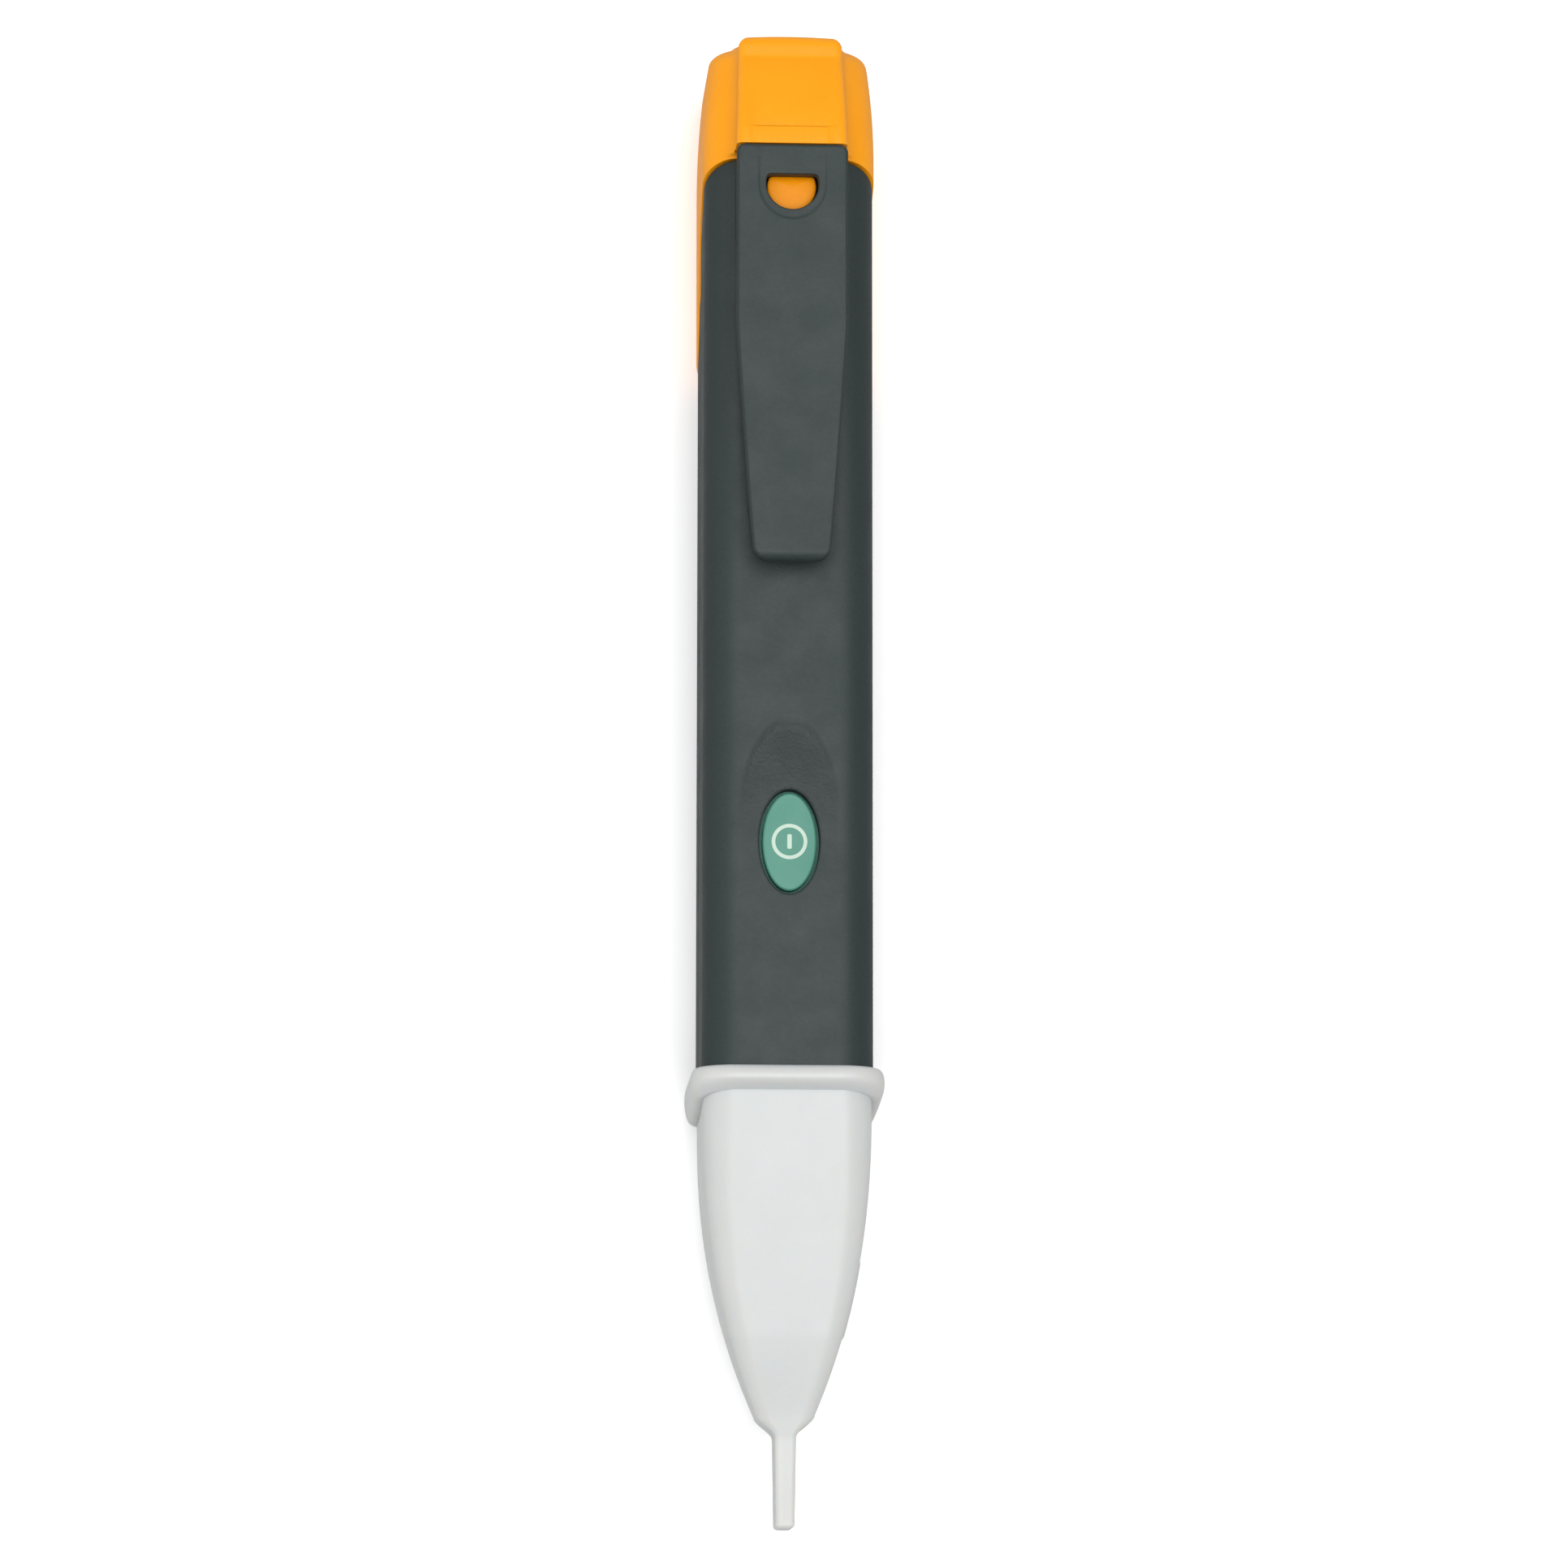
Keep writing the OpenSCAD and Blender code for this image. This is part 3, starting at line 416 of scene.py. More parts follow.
CAP_HALF = cap_high[0]
CAP_FRONT = CAP_END_Y - JOINT_FRONT_Y
CAP_BACK = CAP_END_Y - JOINT_BACK_Y
CAP_STEP = 0.1
CAP_SIDE_IN, CAP_BACK_IN, CAP_FRONT_IN = 0.85, 0.6, 2.6
HEEL_SHARE = 0.6
CAP_ROUND = 2.2
CAP_SHOULDER = 0.22
END_ARCH = 0.2
SKIRT_EDGE = 0.012
BAND_Y = CLIP_TOP_Y + 0.15
BAND_HALF = (root_high[0] - root_low[0]) / 2
BAND_ROUND = 1.5
BAND_FILLET = 1.5
BAND_STEP, BAND_FALL, BAND_FALL_POWER = 0.35, 3.6, 1.6
BAND_FALL_END = 2.4
BAND_IN, BAND_CORNER, BAND_TALL = 0.3, 0.7, 9
SCOOP_Y = BAND_Y + 1.7
SCOOP_HALF = 3.85
SCOOP_DEPTH = 0.32
SCOOP_RUN = 6.0
SCOOP_STEP = 0.22
GROOVE_DEPTH, GROOVE_HALF = 0.1, 0.35
CAP_ANGLES = 480
CAP_MID_Z = (FRONT_Z + BACK_Z) / 2


def end_inset(y, radius):
    """How far a surface has rounded in towards the cap's end."""
    past = np.clip((y - (CAP_END_Y - radius)) / radius, 0, 1)
    return radius * (1 - np.sqrt(1 - past**2.6))


def cap_distance(y, with_band):
    """Signed distance to the cap's section at y; y may hold one value per point."""
    t = np.clip((y - JOINT_FRONT_Y) / CAP_FRONT, 0, 1)
    heel = BACK_Z * ease((y - JOINT_BACK_Y) / (CAP_BACK * HEEL_SHARE))
    half = CAP_HALF - CAP_SIDE_IN * t * t
    low = BACK_Z - heel + CAP_BACK_IN * t * t
    high = FRONT_Z - CAP_STEP - CAP_FRONT_IN * t * t
    band_t = np.clip((y - BAND_Y) / (CAP_END_Y - BAND_FALL_END - BAND_Y), 0, 1)
    band_top = CLIP_Z - BAND_STEP - BAND_FALL * band_t**BAND_FALL_POWER
    band_half = BAND_HALF - BAND_IN * band_t

    def distance(x, z):
        body = rounded_box(x, z, half, low, high, CORNER) + end_inset(y, CAP_ROUND)
        if not with_band:
            return body
        band = rounded_box(x, z, band_half, FRONT_Z - BAND_TALL, band_top, BAND_CORNER)
        return blend_union(body, band + end_inset(y, BAND_ROUND), BAND_FILLET)

    return distance


def scoop(x, y):
    """Depth of the shallow scoop across the band, and of the two grooves from the clip to its step."""
    past = y - SCOOP_Y
    along = ease(past / SCOOP_STEP) * np.clip(1 - past / SCOOP_RUN, 0, 1) ** 1.5
    across = ease((SCOOP_HALF + 1.0 - np.abs(x)) / 1.6)
    groove = GROOVE_DEPTH * ease((GROOVE_HALF - np.abs(np.abs(x) - SCOOP_HALF)) / 0.3) * (past < 0.05)
    return SCOOP_DEPTH * along * across + groove * ease((y - BAND_Y + 0.05) / 0.3)


def end_drop(points):
    """How far the cap's end is set back: it is a little arched, and lower off the band."""
    x, y, z = np.abs(points[..., 0]), points[..., 1], points[..., 2]
    near_end = ease((y - CAP_END_Y + 3) / 3)
    off_band = 1 - ease((BAND_HALF + 0.3 - x) / 0.6) * ease((z - FRONT_Z + 6) / 1.5)
    return near_end * (CAP_SHOULDER * off_band + END_ARCH * np.minimum(x / BAND_HALF, 1) ** 2)


def make_cap_shell():
    angles = np.linspace(0, 2 * np.pi, CAP_ANGLES, endpoint=False)

    def ring(y, with_band):
        y = np.broadcast_to(y, angles.shape).astype(float)
        radius = contour(cap_distance(y, with_band), angles, CAP_MID_Z)
        return np.stack([radius * np.cos(angles), y, CAP_MID_Z + radius * np.sin(angles)], axis=1)

    skin = Skin()
    # Skirt: from the oblique joint up to where the band begins, with the band's fillet beside the clip
    start = joint_y(ring(JOINT_BACK_Y, False)[:, 2])
    skirt = []
    for t in np.concatenate([[0, SKIRT_EDGE], np.linspace(0.04, 1, 30)]):
        ys = start + (BAND_Y - start) * t
        row, banded = ring(ys, False), ring(ys, True)
        beside = ease((t - 0.2) / 0.6) * (np.abs(banded[:, :1]) > BAND_HALF + 0.06)
        skirt.append(row + (banded - row) * beside)
    skirt[0][:, [0, 2]] += (np.array([0, CAP_MID_Z]) - skirt[0][:, [0, 2]]) * SKIRT_EDGE
    skirt = np.stack(skirt)
    skin.grid(skirt, wrap=True)
    # Head with its band, and the two rounded ends
    turn = np.sin(np.linspace(0, np.pi / 2, 15)[1:])
    ys = spread(BAND_Y, 8, SCOOP_Y - 0.1, 16, SCOOP_Y + 1.7, 24, CAP_END_Y - CAP_ROUND, 12,
        CAP_END_Y - BAND_ROUND)
    ys = np.concatenate([ys, CAP_END_Y - BAND_ROUND + BAND_ROUND * turn])
    head = []
    for y in ys:
        row = ring(y, True)
        on_band = ease((row[:, 2] - FRONT_Z + 2) / 1.0) * (np.abs(row[:, 0]) < BAND_HALF - 0.5)
        top = (np.sin(angles) > 0.8) & (row[:, 2] > FRONT_Z - 3)
        row[:, 2] -= scoop(row[:, 0], y) * on_band * top
        head.append(row)
    middle = np.array([0, CAP_END_Y, CAP_MID_Z])
    face = [head[-1] * (1 - t) + middle * t for t in np.linspace(0, 1, 31)[1:]]
    outside = np.stack([skirt[-1]] + head + face)
    outside[..., 1] -= end_drop(outside)
    skin.grid(outside, wrap=True)
    # Inside: the room for the neck, then the round pocket for the spring
    radius = contour(lambda x, z: rounded_box(x, z, seal_high[0] + SLIP, seal_low[2] - SLIP,
        seal_high[2] + SLIP, 1.8), angles, CAP_MID_Z)
    inside = np.stack([radius * np.cos(angles), start, CAP_MID_Z + radius * np.sin(angles)], axis=1)
    deep = inside.copy()
    deep[:, 1] = neck_high[1] + 0.3
    skin.grid(np.stack([skirt[0], inside]), wrap=True)
    skin.grid(np.stack([inside * (1 - t) + deep * t for t in np.linspace(0, 1, 8)]), wrap=True)
    pocket = contour(lambda x, z: np.hypot(x, z - CELL_Z) - CELL_R - 0.1, angles, CAP_MID_Z)
    mouth = np.stack([pocket * np.cos(angles), deep[:, 1], CAP_MID_Z + pocket * np.sin(angles)], axis=1)
    bottom = mouth.copy()
    bottom[:, 1] = contact_high[1] + 0.02
    skin.grid(np.stack([deep, mouth]), wrap=True)
    skin.grid(np.stack([mouth, bottom]), wrap=True)
    skin.close(bottom, middle=(0, bottom[0, 1], CELL_Z), rings=3)
    return skin.make("cap_shell")


# ---------------------------------------------------------------- probe tip

TIP_INSET = 0.125
TIP_HALF = HALF - TIP_INSET
BEAD_H, BEAD_OUT, BEAD_FRONT, BEAD_BACK = 2.4, 1.195, 0.9, BACK_Z - 0.003
BEAD_LEAN, LEAN_POWER = 1.9, 2.5
CONE_TOP_Y = BEAD_Y - BEAD_H
BLADE_LEN, BLADE_HALF, BLADE_DEEP = 8.8, 1.05, 6.0
BLADE_ROUND, BLADE_CORNER, BLADE_TAPER = 0.4, 0.5, 0.12
BLADE_ROOT_Y = TIP_Y + BLADE_LEN
SHOULDER_LEN, SHOULDER_HALF, SHOULDER_RISE, SHOULDER_CORNER = 2.2, 2.9, 0.5, 1.3
CONE_LEN = CONE_TOP_Y - BLADE_ROOT_Y - SHOULDER_LEN
CONE_INSET = 0.3
CONE_POWER, CONE_BACK_POWER, CONE_FRONT_POWER = 2.4, 1.9, 1.7
BLADE_FRONT, BLADE_REAR = BLADE_MID_Z + BLADE_DEEP / 2, BLADE_MID_Z - BLADE_DEEP / 2
CREASE_T, CREASE_RISE, CREASE_RUN = 0.76, 0.22, 0.24
SPIGOT_CORNER, SPIGOT_WALL = 1.7, 1.4
SLOT_HALF, SLOT_DEEP, SLOT_CORNER = 0.45, 2.1, 0.3
RING_STEPS = 12


def rounded_ring(y, half, low, high, radius, lean=0.0, side_points=10):
    """One ring of the tip: a rounded rectangle with points along its straight sides too."""
    corner_angles = np.linspace(0, np.pi / 2, RING_STEPS)
    arcs = []
    for quarter in range(4):
        a = corner_angles + quarter * np.pi / 2
        cx = (half - radius) * (1 if quarter in (0, 3) else -1)
        cz = high - radius if quarter < 2 else low + radius
        arcs.append(np.stack([cx + radius * np.cos(a), cz + radius * np.sin(a)], axis=1))
    share = np.linspace(0, 1, side_points + 1)[1:-1, None]
    outline = []
    for arc, following in zip(arcs, arcs[1:] + arcs[:1]):
        outline += [arc, arc[-1] * (1 - share) + following[0] * share]
    xz = np.concatenate(outline)
    rise = np.clip((xz[:, 1] - low) / (high - low), 0, 1)
    ys = y - lean * (1 - rise**LEAN_POWER)
    return np.stack([xz[:, 0], ys, xz[:, 1]], axis=1)


def cone_shape(t):
    """Half width, back and front of the cone, from the bead at t 0 to the blade's shoulder at t 1."""
    low, low_end = BACK_Z + CONE_INSET, BLADE_REAR - SHOULDER_RISE
    high, high_end = FRONT_Z - CONE_INSET, BLADE_FRONT + SHOULDER_RISE
    return (TIP_HALF + (SHOULDER_HALF - TIP_HALF) * t**CONE_POWER,
        low + (low_end - low) * t**CONE_BACK_POWER, high + (high_end - high) * t**CONE_FRONT_POWER)


def cone_ring(t):
    half, low, high = cone_shape(t)
    # A faint crease across the front, where the cone turns in a little more
    high += CREASE_RISE * np.clip(1 - abs(t - CREASE_T) / CREASE_RUN, 0, 1) ** 1.2
    corner = CORNER + (SHOULDER_CORNER - CORNER) * t
    return rounded_ring(CONE_TOP_Y - CONE_LEN * t, half, low, high, corner, BEAD_LEAN * (1 - t) ** 2)


def shoulder_ring(t):
    e = ease(t)
    half = SHOULDER_HALF + (BLADE_HALF - SHOULDER_HALF) * e
    rise = SHOULDER_RISE * (1 - t)
    return rounded_ring(BLADE_ROOT_Y + SHOULDER_LEN * (1 - t), half, BLADE_REAR - rise,
        BLADE_FRONT + rise, SHOULDER_CORNER + (BLADE_CORNER - SHOULDER_CORNER) * e)


def blade_ring(t, a=0.0):
    """Ring of the blade at t, or of its rounded end at the angle a."""
    inset = BLADE_ROUND * (1 - np.cos(a))
    half = BLADE_HALF * (1 - BLADE_TAPER * t) - inset
    y = BLADE_ROOT_Y - (BLADE_LEN - BLADE_ROUND) * t - BLADE_ROUND * np.sin(a)
    corner = min(BLADE_CORNER, half * 0.98)
    return rounded_ring(y, half, BLADE_REAR + inset, BLADE_FRONT - inset, corner)


def bead_ring(a):
    """Ring of the bead: full at the sides and the back, softer at the front."""
    t = (1 - np.cos(a)) / 2
    out, front_out = np.sin(a) ** 0.55, np.sin(a) ** (1.2 if a < np.pi / 2 else 3)
    late = CONE_INSET * max(0.0, 2 * t - 1)
    low, high = BACK_Z + late - BEAD_BACK * out, FRONT_Z - late + BEAD_FRONT * front_out
    return rounded_ring(BEAD_Y - BEAD_H * t, HALF - TIP_INSET * t + BEAD_OUT * out, low, high,
        CORNER + BEAD_FRONT * out, BEAD_LEAN * t)


PAD_FROM, PAD_TO, PAD_RISE, PAD_TALL = 0.50, 0.77, 0.24, 2.4


def raise_pads(row, t):
    """Lifts the plain pad on each side of the cone."""
    along = ease((t - PAD_FROM) / 0.012) * ease((PAD_TO - t) / 0.02)
    tall = ease((PAD_TALL - np.abs(row[:, 2] - BLADE_MID_Z)) / 0.4)
    row[:, 0] += np.sign(row[:, 0]) * PAD_RISE * along * tall * (np.abs(row[:, 0]) > 1)
    return row


def make_tip():
    spigot_half = gasket_high[0] - 0.05
    spigot_low, spigot_high = gasket_low[2] + 0.05, gasket_high[2] - 0.05
    rim_y = tip_high[1]
    skin = Skin()
    outer = [rounded_ring(y, spigot_half, spigot_low, spigot_high, SPIGOT_CORNER)
        for y in (rim_y, BEAD_Y)]
    outer += [bead_ring(np.pi * ease(t)) for t in np.linspace(0, 1, 34)]
    cone_ts = spread(0, 10, 0.1, 22, PAD_FROM - 0.01, 6, PAD_FROM + 0.02, 16, PAD_TO - 0.03, 8,
        PAD_TO + 0.01, 16, 1)[1:]
    outer += [raise_pads(cone_ring(t), t) for t in cone_ts]
    outer += [shoulder_ring(t) for t in np.linspace(0, 1, 15)[1:]]
    outer += [blade_ring(t) for t in np.linspace(0, 1, 14)[1:]]
    outer += [blade_ring(1, a) for a in np.linspace(0, np.radians(88), 9)[1:]]
    skin.grid(np.stack(outer), wrap=True)
    skin.close(outer[-1], rings=2)
    # Hollow for the light and the sensing strip
    room_half = spigot_half - SPIGOT_WALL
    room_low, room_high = spigot_low + SPIGOT_WALL, spigot_high - SPIGOT_WALL
    inner = [rounded_ring(rim_y, room_half, room_low, room_high, 1.0)]
    for t in np.linspace(0, 0.95, 24):
        half, low, high = cone_shape(t)
        inner.append(rounded_ring(CONE_TOP_Y - CONE_LEN * t, max(SLOT_HALF, min(half - WALL, room_half)),
            max(low + 2, room_low), min(high - 1.8, room_high), SLOT_CORNER + 0.7 * (1 - t)))
    for y in (BLADE_ROOT_Y + 1.2, TIP_Y + 2.2):
        inner.append(rounded_ring(y, SLOT_HALF, BLADE_MID_Z - SLOT_DEEP, BLADE_MID_Z + SLOT_DEEP,
            SLOT_CORNER))
    skin.grid(np.stack(inner), wrap=True)
    skin.close(inner[-1], rings=1)
    skin.grid(np.stack([outer[0], inner[0]]), wrap=True)
    return skin.make("probe_tip_shell")


# ---------------------------------------------------------------- pocket clip

WINDOW_R = 2.6
WINDOW_Y = CLIP_TOP_Y - 4.0
WINDOW_FLAT = 0.95
WINDOW_POWER = 1.4 / 0.3**2
WINDOW_EDGE = 0.14
WINDOW_BLOCK_X = 4.3
WINDOW_BLOCK_LOW_Y, WINDOW_BLOCK_HIGH_Y = WINDOW_Y - 4.5, WINDOW_Y + 3.1
CLIP_HALF = BAND_HALF
CLIP_END_HALF = 3.7
CLIP_ROUND = 0.32
TAPER_Y = CLIP_TOP_Y - 18.3
END_CORNER = 1.4
TOP_CORNER = 0.8
RELIEF = 0.07
RELIEF_HALF = 3.35
RIB_FROM_END, RIB_R = 5.5, 7.0
END_ROUND, END_FALL = 1.0, 0.95
CLIP_SIDE_STEPS = 4


def clip_half(y):
    """Half width of the clip at y, with its rounded corners at both ends."""
    share = np.clip((y - CLIP_END_Y) / (TAPER_Y - CLIP_END_Y), 0, 1)
    width = CLIP_END_HALF + (CLIP_HALF - CLIP_END_HALF) * share**0.86
    past = np.clip(CLIP_END_Y + END_CORNER - y, 0, END_CORNER)
    up = np.clip(y - (CLIP_TOP_Y - TOP_CORNER), 0, TOP_CORNER)
    return (width - (END_CORNER - np.sqrt(np.maximum(END_CORNER**2 - past**2, 0)))
        - (TOP_CORNER - np.sqrt(np.maximum(TOP_CORNER**2 - up**2, 0))))


def half_moon(phi, radius, flat):
    """Outline about the window's middle: a circle cut off by a flat top, with rounded corners."""
    up = np.sin(phi)
    cut = np.where(up > 0.05, flat / np.maximum(up, 0.05), 99)
    reach = (radius**-WINDOW_POWER + cut**-WINDOW_POWER) ** (-1 / WINDOW_POWER)
    return np.stack([reach * np.cos(phi), WINDOW_Y + reach * np.sin(phi)], axis=1)


def clip_relief(x, y):
    """Depth of the shallow recess round the window, which is open towards the cap."""
    below = np.minimum(y - WINDOW_Y, 0)
    inside = RELIEF_HALF - np.hypot(x, below * 0.93)
    return RELIEF * ease((inside + 0.1) / 0.25)


def clip_under(y):
    """Height of the clip's underside, with the round rib near its free end."""
    flat = CLIP_Z - CLIP_THICK
    away = y - (CLIP_END_Y + RIB_FROM_END)
    rib = arm_low[2] + RIB_R - np.sqrt(np.maximum(RIB_R**2 - away**2, 0))
    return np.minimum(flat, np.where(np.abs(away) < RIB_R, rib, flat))


def clip_top(y):
    """Height of the clip's outer face, which is rounded down at the free end."""
    past = np.clip(CLIP_END_Y + END_ROUND - y, 0, END_ROUND)
    return CLIP_Z - END_FALL * (1 - np.sqrt(np.maximum(1 - past**2, 0))) - 0.012 * past


def make_clip_skin():
    skin = Skin()
    ys = spread(CLIP_END_Y, 10, CLIP_END_Y + END_CORNER, 20, TAPER_Y - 8, 22, BEND_Y - 3, 12,
        WINDOW_BLOCK_LOW_Y, 24, WINDOW_BLOCK_HIGH_Y, 6, CLIP_TOP_Y - CLIP_ROUND)
    turn = np.linspace(0, np.pi / 2, 6)[1:]
    arc_x, arc_z = CLIP_ROUND * np.sin(turn), CLIP_ROUND * (1 - np.cos(turn))
    drops = np.concatenate([np.zeros(len(ys)), arc_z])
    ys = np.concatenate([ys, CLIP_TOP_Y - CLIP_ROUND + arc_x])
    fixed = spread(-WINDOW_BLOCK_X, 24, WINDOW_BLOCK_X)
    rows_top, rows_low = [], []
    for y, drop in zip(ys, drops):
        half = clip_half(np.array(y))
        edge = max(half - CLIP_ROUND, 0.2)
        block = min(WINDOW_BLOCK_X, edge * 0.8)
        inner = fixed * block / WINDOW_BLOCK_X
        side = block + (edge - block) * np.linspace(0, 1, CLIP_SIDE_STEPS + 1)[1:]
        xs = np.concatenate([-side[::-1], inner, side])
        z_top = clip_top(np.array(y)) - drop
        relief = clip_relief(xs, y)
        x = np.concatenate([-(edge + arc_x)[::-1], xs, edge + arc_x])
        z = np.concatenate([(z_top - arc_z)[::-1], z_top - relief, z_top - arc_z])
        rows_top.append(np.stack([x, np.full(len(x), y), z], axis=1))
        under = clip_under(np.array(y)) + np.concatenate([arc_z[::-1] * 0.5, xs * 0, arc_z * 0.5])
        rows_low.append(np.stack([x, np.full(len(x), y), np.minimum(under, z - 0.2)], axis=1))
    top, low = np.stack(rows_top), np.stack(rows_low)
    first = len(turn) + CLIP_SIDE_STEPS
    last = first + len(fixed) - 1
    start, stop = (np.argmin(np.abs(ys - y)) for y in (WINDOW_BLOCK_LOW_Y, WINDOW_BLOCK_HIGH_Y))
    skin.around(top, (start, stop), (first, last))
    skin.around(low, (start, stop), (first, last))
    skin.rim(top, low)
    # Rings round the window, its rounded edge and its wall
    edge = block_edge(top[start, first:last + 1, 0], ys[start:stop + 1])
    phi = np.arctan2(edge[:, 1] - WINDOW_Y, edge[:, 0])
    hole = half_moon(phi, WINDOW_R, WINDOW_FLAT)
    lip = half_moon(phi, WINDOW_R + WINDOW_EDGE, WINDOW_FLAT + WINDOW_EDGE)
    flat = ogrid(lip, edge, np.linspace(0, 1, 20) ** 1.1)
    height = CLIP_Z - clip_relief(flat[..., 0], flat[..., 1])
    skin.grid(np.concatenate([flat, height[..., None]], axis=-1), wrap=True)
    under_z = CLIP_Z - CLIP_THICK
    fillet = []
    for a in np.linspace(0, np.pi / 2, 5):
        xy = hole + (lip - hole) * (1 - np.sin(a))
        z = CLIP_Z - clip_relief(xy[:, 0], xy[:, 1]) - WINDOW_EDGE * (1 - np.cos(a))
        fillet.append(np.concatenate([xy, z[:, None]], axis=1))
    skin.grid(np.stack(fillet), wrap=True)
    base = np.concatenate([hole, np.full((len(hole), 1), under_z)], axis=1)
    skin.grid(np.stack([fillet[-1] * (1 - t) + base * t for t in np.linspace(0, 1, 4)]), wrap=True)
    flat = ogrid(hole, edge, np.linspace(0, 1, 6))
    skin.grid(np.concatenate([flat, np.full(flat.shape[:2] + (1,), under_z)], axis=-1), wrap=True)
    return skin.make("clip_skin")


LEG_POINTS, LEG_POWER = 48, 9


def make_clip_legs():
    """The two side walls that carry the clip, each a block with rounded corners."""
    skin = Skin()
    leg_low_y, leg_high_y = BEND_Y + 0.6, JOINT_FRONT_Y - 0.35
    leg_half = (2 * CLIP_HALF - 2 * WINDOW_R - 0.6) / 4
    half_y, mid_y = (leg_high_y - leg_low_y) / 2, (leg_high_y + leg_low_y) / 2
    heights = np.linspace(FRONT_Z - 0.3, CLIP_Z - CLIP_THICK + 0.3, 5)
    phi = np.linspace(0, 2 * np.pi, LEG_POINTS, endpoint=False)
    reach = squircle(phi, LEG_POWER)
    across, along = leg_half * reach * np.cos(phi), half_y * reach * np.sin(phi)
    for side in (-1, 1):
        middle = side * (CLIP_HALF - leg_half - 0.04)
        rings = [np.stack([middle + across, mid_y + along, np.full(LEG_POINTS, z)], axis=1)
            for z in heights]
        skin.grid(np.stack(rings), wrap=True)
        skin.close(rings[0], rings=1)
        skin.close(rings[-1], rings=1)
    return skin.make("clip_legs")


# ---------------------------------------------------------------- tab, button and mark


TAB_POINTS = 96
TAB_OVERLAP = 0.12
TAB_DOME, TAB_EDGE_DROP = 0.22, 0.12
TONGUE_HALF, TONGUE_THICK, TONGUE_CORNER = 1.8, 1.0, 0.15


def make_tab():
    """The release tab: a domed half-moon just under the clip, on a flat tongue."""
    skin = Skin()
    phi = np.linspace(0, 2 * np.pi, TAB_POINTS, endpoint=False)
    under = min(TAB_OVERLAP, tab_high[0] - WINDOW_R)
    outline = half_moon(phi, WINDOW_R + under, WINDOW_FLAT + TAB_OVERLAP)
    middle = np.array([0, WINDOW_Y - 0.2])
    rows = []
    for share in spread(0.08, 10, 0.92, 6, 1):
        xy = middle + (outline - middle) * share
        dome = TAB_DOME * share**2 + TAB_EDGE_DROP * ease((share - 0.93) / 0.14)
        rows.append(np.concatenate([xy, np.full((TAB_POINTS, 1), tab_high[2] - dome)], axis=1))
    low = rows[-1].copy()
    low[:, 2] = tab_low[2]
    skin.grid(np.stack(rows), wrap=True)
    skin.close(rows[0], rings=1)
    skin.grid(np.stack([rows[-1] * (1 - t) + low * t for t in np.linspace(0, 1, 4)]), wrap=True)
    skin.close(low, rings=1)
    bar = [rounded_ring(y, TONGUE_HALF, tab_low[2], tab_low[2] + TONGUE_THICK, TONGUE_CORNER,
        side_points=4) for y in spread(WINDOW_Y + 0.3, 10, tab_high[1])]
    skin.grid(np.stack(bar), wrap=True)
    skin.close(bar[0], rings=1)
    skin.close(bar[-1], rings=1)
    return skin.make("release_tab_skin")


BUTTON_EDGE, BUTTON_EDGE_STEP = 0.16, 0.04
BUTTON_FACE_Z = icon_low[2]
BUTTON_DOME = 0.2
BUTTON_POINTS = 128
BUTTON_RIM, BUTTON_RIM_THICK, BUTTON_RIM_GAP = 0.9, 0.6, 0.12
BUTTON_STEM_R = 1.2


def button_height(x, y):
    """Height of the button's domed face, before its edge is rounded."""
    away = (x / BUTTON_A) ** 2 + ((y - BUTTON_Y) / BUTTON_B) ** 2
    return BUTTON_FACE_Z - BUTTON_DOME * away


def ellipse_ring(a, b, z):
    phi = np.linspace(0, 2 * np.pi, BUTTON_POINTS, endpoint=False)
    x, y = a * np.cos(phi), BUTTON_Y + b * np.sin(phi)
    return np.stack([x, y, np.broadcast_to(z, x.shape)], axis=1)


def make_button():
    skin = Skin()
    rim_high = FRONT_Z - WALL - BUTTON_RIM_GAP
    rim_low = rim_high - BUTTON_RIM_THICK
    rows = []
    for share in np.linspace(0.04, 1, 16):
        a, b = (BUTTON_A - BUTTON_EDGE) * share, (BUTTON_B - BUTTON_EDGE) * share
        ring = ellipse_ring(a, b, 0)
        ring[:, 2] = button_height(ring[:, 0], ring[:, 1])
        rows.append(ring)
    face_edge = rows[-1][:, 2] - BUTTON_EDGE_STEP
    for angle in np.linspace(0, np.pi / 2, 8)[1:]:
        inset = BUTTON_EDGE * (1 - np.sin(angle))
        height = face_edge - BUTTON_EDGE * (1 - np.cos(angle))
        rows.append(ellipse_ring(BUTTON_A - inset, BUTTON_B - inset, height))
    # The wall, the rim under the cover and the stem down to the silicone sheet
    rim_a, rim_b = BUTTON_A + BUTTON_RIM, BUTTON_B + BUTTON_RIM
    rows += [ellipse_ring(BUTTON_A, BUTTON_B, rim_high), ellipse_ring(rim_a, rim_b, rim_high),
        ellipse_ring(rim_a, rim_b, rim_low), ellipse_ring(BUTTON_STEM_R, BUTTON_STEM_R, rim_low),
        ellipse_ring(BUTTON_STEM_R, BUTTON_STEM_R, button_low[2])]
    skin.grid(np.stack(rows), wrap=True)
    skin.close(rows[0], rings=1)
    skin.close(rows[-1], rings=1)
    return skin.make("power_button_cap")


ICON_R = (icon_high[0] - icon_low[0]) / 2
ICON_LINE = 0.36
ICON_RISE = 0.03
ICON_POINTS = 96
BAR_HALF, BAR_LONG, BAR_POWER = 0.22, 0.72, 8


